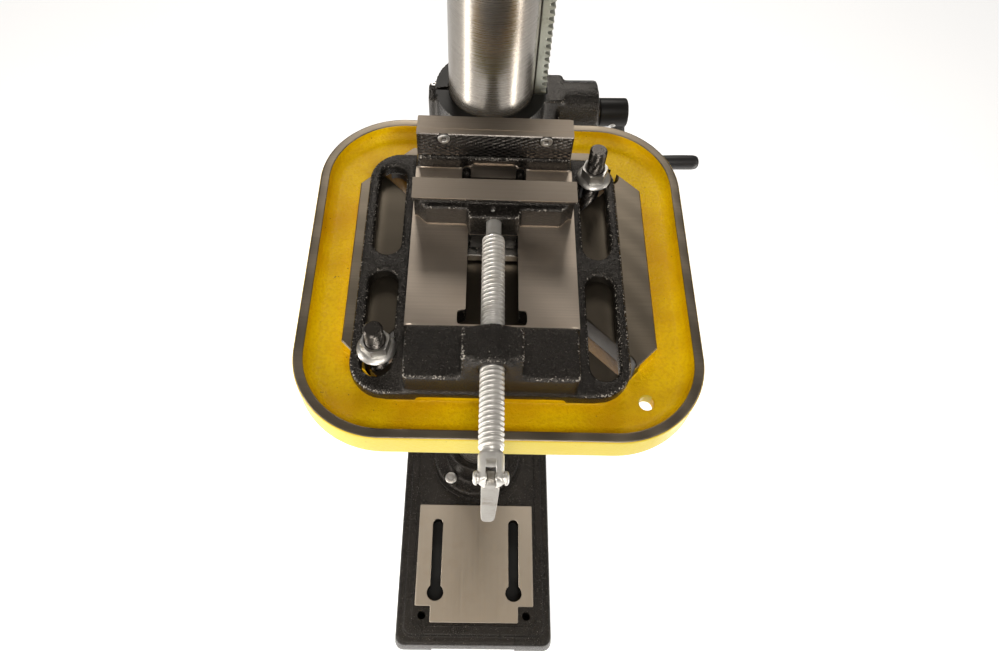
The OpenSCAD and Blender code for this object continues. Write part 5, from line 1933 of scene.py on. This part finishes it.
    def switch(self) -> None:
        """Builds the switch box with its two dished keys."""
        box = softened([(0.004, -0.2635, 0), (0.0, -0.2640, 0.001), (0.0, -0.2810, 0.003),
                        (0.0035, -0.2840, 0.002), (0.006, -0.2840, 0)], 5)
        rings = []
        for inset, y in box:
            ring = outline(0.027 - inset, 0.034 - inset, 0.0055, 8)
            rings.append(np.stack([ring[:, 0], np.full(len(ring), y), ring[:, 1] + 1.352], axis=1))
        case = Skin().solid(np.stack(rings)).make("switch_case", 35)
        wells = Skin()
        for z in (self.stop_z, self.start_z):
            wells.turned(Axis((0, 0, z), (0, 1, 0)), softened([
                (0.0, -0.290, 0), (0.0105, -0.290, 0), (0.0105, -0.2838, 0), (0.0091, -0.2830, 0),
                (0.0091, -0.268, 0), (0.0, -0.268, 0)]), 48)
        cut(case, wells.make("switch_cutter"), 35)
        self.place(case, "black_plastic", self.finishes.plastic, "switch_box")
        for name, z, front, material, dish in (
                ("start", self.start_z, -0.286, self.finishes.green, 0.0012),
                ("stop", self.stop_z, -0.289, self.finishes.red, 0.0)):
            key = softened([
                (0.0, front + dish, 0), (0.0055, front + dish * 0.6, 0.002), (0.0080, front, 0.0006),
                (0.0088, front + 0.0010, 0.0006), (0.0088, -0.2712, 0), (0.0, -0.2712, 0)], 5)
            self.place(Skin().turned(Axis((0, 0, z), (0, 1, 0)), key, 48).make(f"{name}_key_cap"),
                       f"{'green' if name == 'start' else 'red'}_plastic", material,
                       f"{name}_button", body=f"{name}_key")

    def make(self) -> None:
        """Builds everything in the assembly."""
        casting = Casting("head_casting", 0.0026, 10).make("head_casting_rounded")
        self.place(casting, "black_cast", self.finishes.head, "head_casting")
        self.cover()
        self.motor()
        self.quill()
        self.feed()
        self.switch()
        look = self.finishes
        self.dress_all(
            ("motor_slide", look.satin, 0.0008), ("motor_pulley", look.alloy, 0.0003),
            ("spindle_pulley", look.alloy, 0.0003), ("drive_belt", look.rubber, 0.0008),
            ("stop_arm", look.satin, 0.0012), ("stop_rod", look.zinc, 0.0005),
            ("stop_nuts", look.zinc, 0.0008))
        self.report()


# The studio


@dataclass(frozen=True)
class Softbox:
    """A rectangular light that points at a place on the machine."""

    name: str
    at: tuple[float, float, float]
    to: tuple[float, float, float]
    size: tuple[float, float]
    power: float
    colour: tuple[float, float, float] = (1.0, 0.95, 0.88)

    def make(self) -> None:
        """Adds the light."""
        light = bpy.data.lights.new(self.name, "AREA")
        light.shape = "RECTANGLE"
        light.size, light.size_y = self.size
        light.energy = self.power
        light.color = self.colour
        made = added(self.name, light)
        made.location = self.at
        aim = Vector(self.to) - Vector(self.at)
        made.rotation_euler = aim.to_track_quat("-Z", "Y").to_euler()


@dataclass(frozen=True)
class Studio:
    """The camera, the lights, the floor and the white background."""

    focal: float = 778.3105773
    width: int = 999
    height: int = 651
    camera_at: tuple[float, float, float] = (-0.007992, -0.498570, 1.337012)
    pitch: float = 1.0343035
    yaw: float = -0.0595927
    roll: float = 0.0754644
    fill: float = 0.17
    floor_glow: float = 0.62

    def camera(self) -> None:
        """Adds the camera that matches the photograph."""
        data = bpy.data.cameras.new("photo_camera")
        data.sensor_width = 36.0
        data.lens = self.focal * 36.0 / self.width
        data.clip_start, data.clip_end = 0.01, 20.0
        camera = added("photo_camera", data)
        turn = Matrix.Rotation(self.yaw, 3, "Z")
        forward = turn @ Vector((0.0, math.cos(self.pitch), -math.sin(self.pitch)))
        right = turn @ Vector((1.0, 0.0, 0.0))
        up = right.cross(forward)
        across = math.cos(self.roll) * right + math.sin(self.roll) * up
        upright = -math.sin(self.roll) * right + math.cos(self.roll) * up
        matrix = Matrix((across, upright, -forward)).transposed().to_4x4()
        matrix.translation = Vector(self.camera_at)
        camera.matrix_world = matrix
        bpy.context.scene.camera = camera

    def world(self) -> None:
        """Sets a white background with a softer light."""
        world = bpy.data.worlds.new("studio")
        bpy.context.scene.world = world
        world.use_nodes = True
        tree = world.node_tree
        tree.nodes.clear()
        path = tree.nodes.new("ShaderNodeLightPath")
        soft = tree.nodes.new("ShaderNodeBackground")
        soft.inputs["Color"].default_value = (1.0, 0.94, 0.87, 1.0)
        soft.inputs["Strength"].default_value = self.fill
        white = tree.nodes.new("ShaderNodeBackground")
        white.inputs["Color"].default_value = (1.0, 1.0, 1.0, 1.0)
        white.inputs["Strength"].default_value = 1.0
        mix = tree.nodes.new("ShaderNodeMixShader")
        out = tree.nodes.new("ShaderNodeOutputWorld")
        tree.links.new(path.outputs["Is Camera Ray"], mix.inputs[0])
        tree.links.new(soft.outputs[0], mix.inputs[1])
        tree.links.new(white.outputs[0], mix.inputs[2])
        tree.links.new(mix.outputs[0], out.inputs["Surface"])

    def floor(self) -> None:
        """Adds the plain pale floor, with a painted shadow where the base stands on it."""
        ring = level(outline(3.0, 3.0, 2.9, 24), -0.0004)
        floor = Skin().cap(ring).make("floor")
        graph = Graph("pale_floor")
        shade = graph.noise(2.0).smooth(0.2, 0.8)
        colour = graph.blend(shade, (0.86, 0.86, 0.86), (0.90, 0.90, 0.90))
        # Painted shadow: within the base's footprint the floor is near black and gives no glow.
        lit = graph.outside((0.0, -0.093), (0.105, 0.195), (0.122, 0.214))
        floor.data.materials.append(graph.close(graph.shader(
            Base_Color=graph.blend(lit, (0.03, 0.03, 0.03), colour), Roughness=0.8,
            Emission_Color=graph.blend(lit, (0.0, 0.0, 0.0), (1.0, 1.0, 1.0)),
            Emission_Strength=self.floor_glow)))

    def make(self) -> None:
        """Builds the studio."""
        self.camera()
        self.world()
        self.floor()
        for box in (
                Softbox("left_strip", (-1.25, -0.45, 1.30), (0.0, -0.10, 0.95), (0.16, 1.3), 8),
                Softbox("right_strip", (1.25, -0.35, 1.35), (0.0, -0.10, 0.95), (0.16, 1.3), 3.5),
                Softbox("left_low", (-0.75, -0.36, 0.50), (0.0, 0.0, 0.80), (0.18, 0.7), 4.0),
                Softbox("right_low", (0.70, -0.42, 0.50), (0.0, 0.0, 0.80), (0.12, 0.7), 3.2),
                Softbox("front_box", (-0.25, -1.45, 1.30), (0.0, -0.2, 0.9), (0.35, 0.2), 7.5),
                Softbox("rear_box", (0.0, 1.30, 1.95), (0.0, -0.2, 0.93), (0.8, 0.45), 12.5),
                Softbox("top_box", (0.1, -0.95, 2.00), (0.0, -0.30, 0.9), (0.4, 0.4), 6.5),
                Softbox("base_box", (-0.5, -1.1, 0.75), (0.0, -0.2, 0.03), (0.4, 0.3), 4)):
            box.make()
        view = bpy.context.scene.view_settings
        view.view_transform = "Standard"


def main() -> None:
    logging.basicConfig(level=logging.INFO, format="%(name)s %(message)s")
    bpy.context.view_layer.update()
    Studio().make()
    finishes = Finishes()
    Stand(finishes).make()
    TableSupport(finishes).make()
    Table(finishes).make()
    Vise(finishes).make()
    Head(finishes).make()


if __name__ == "__main__":
    main()
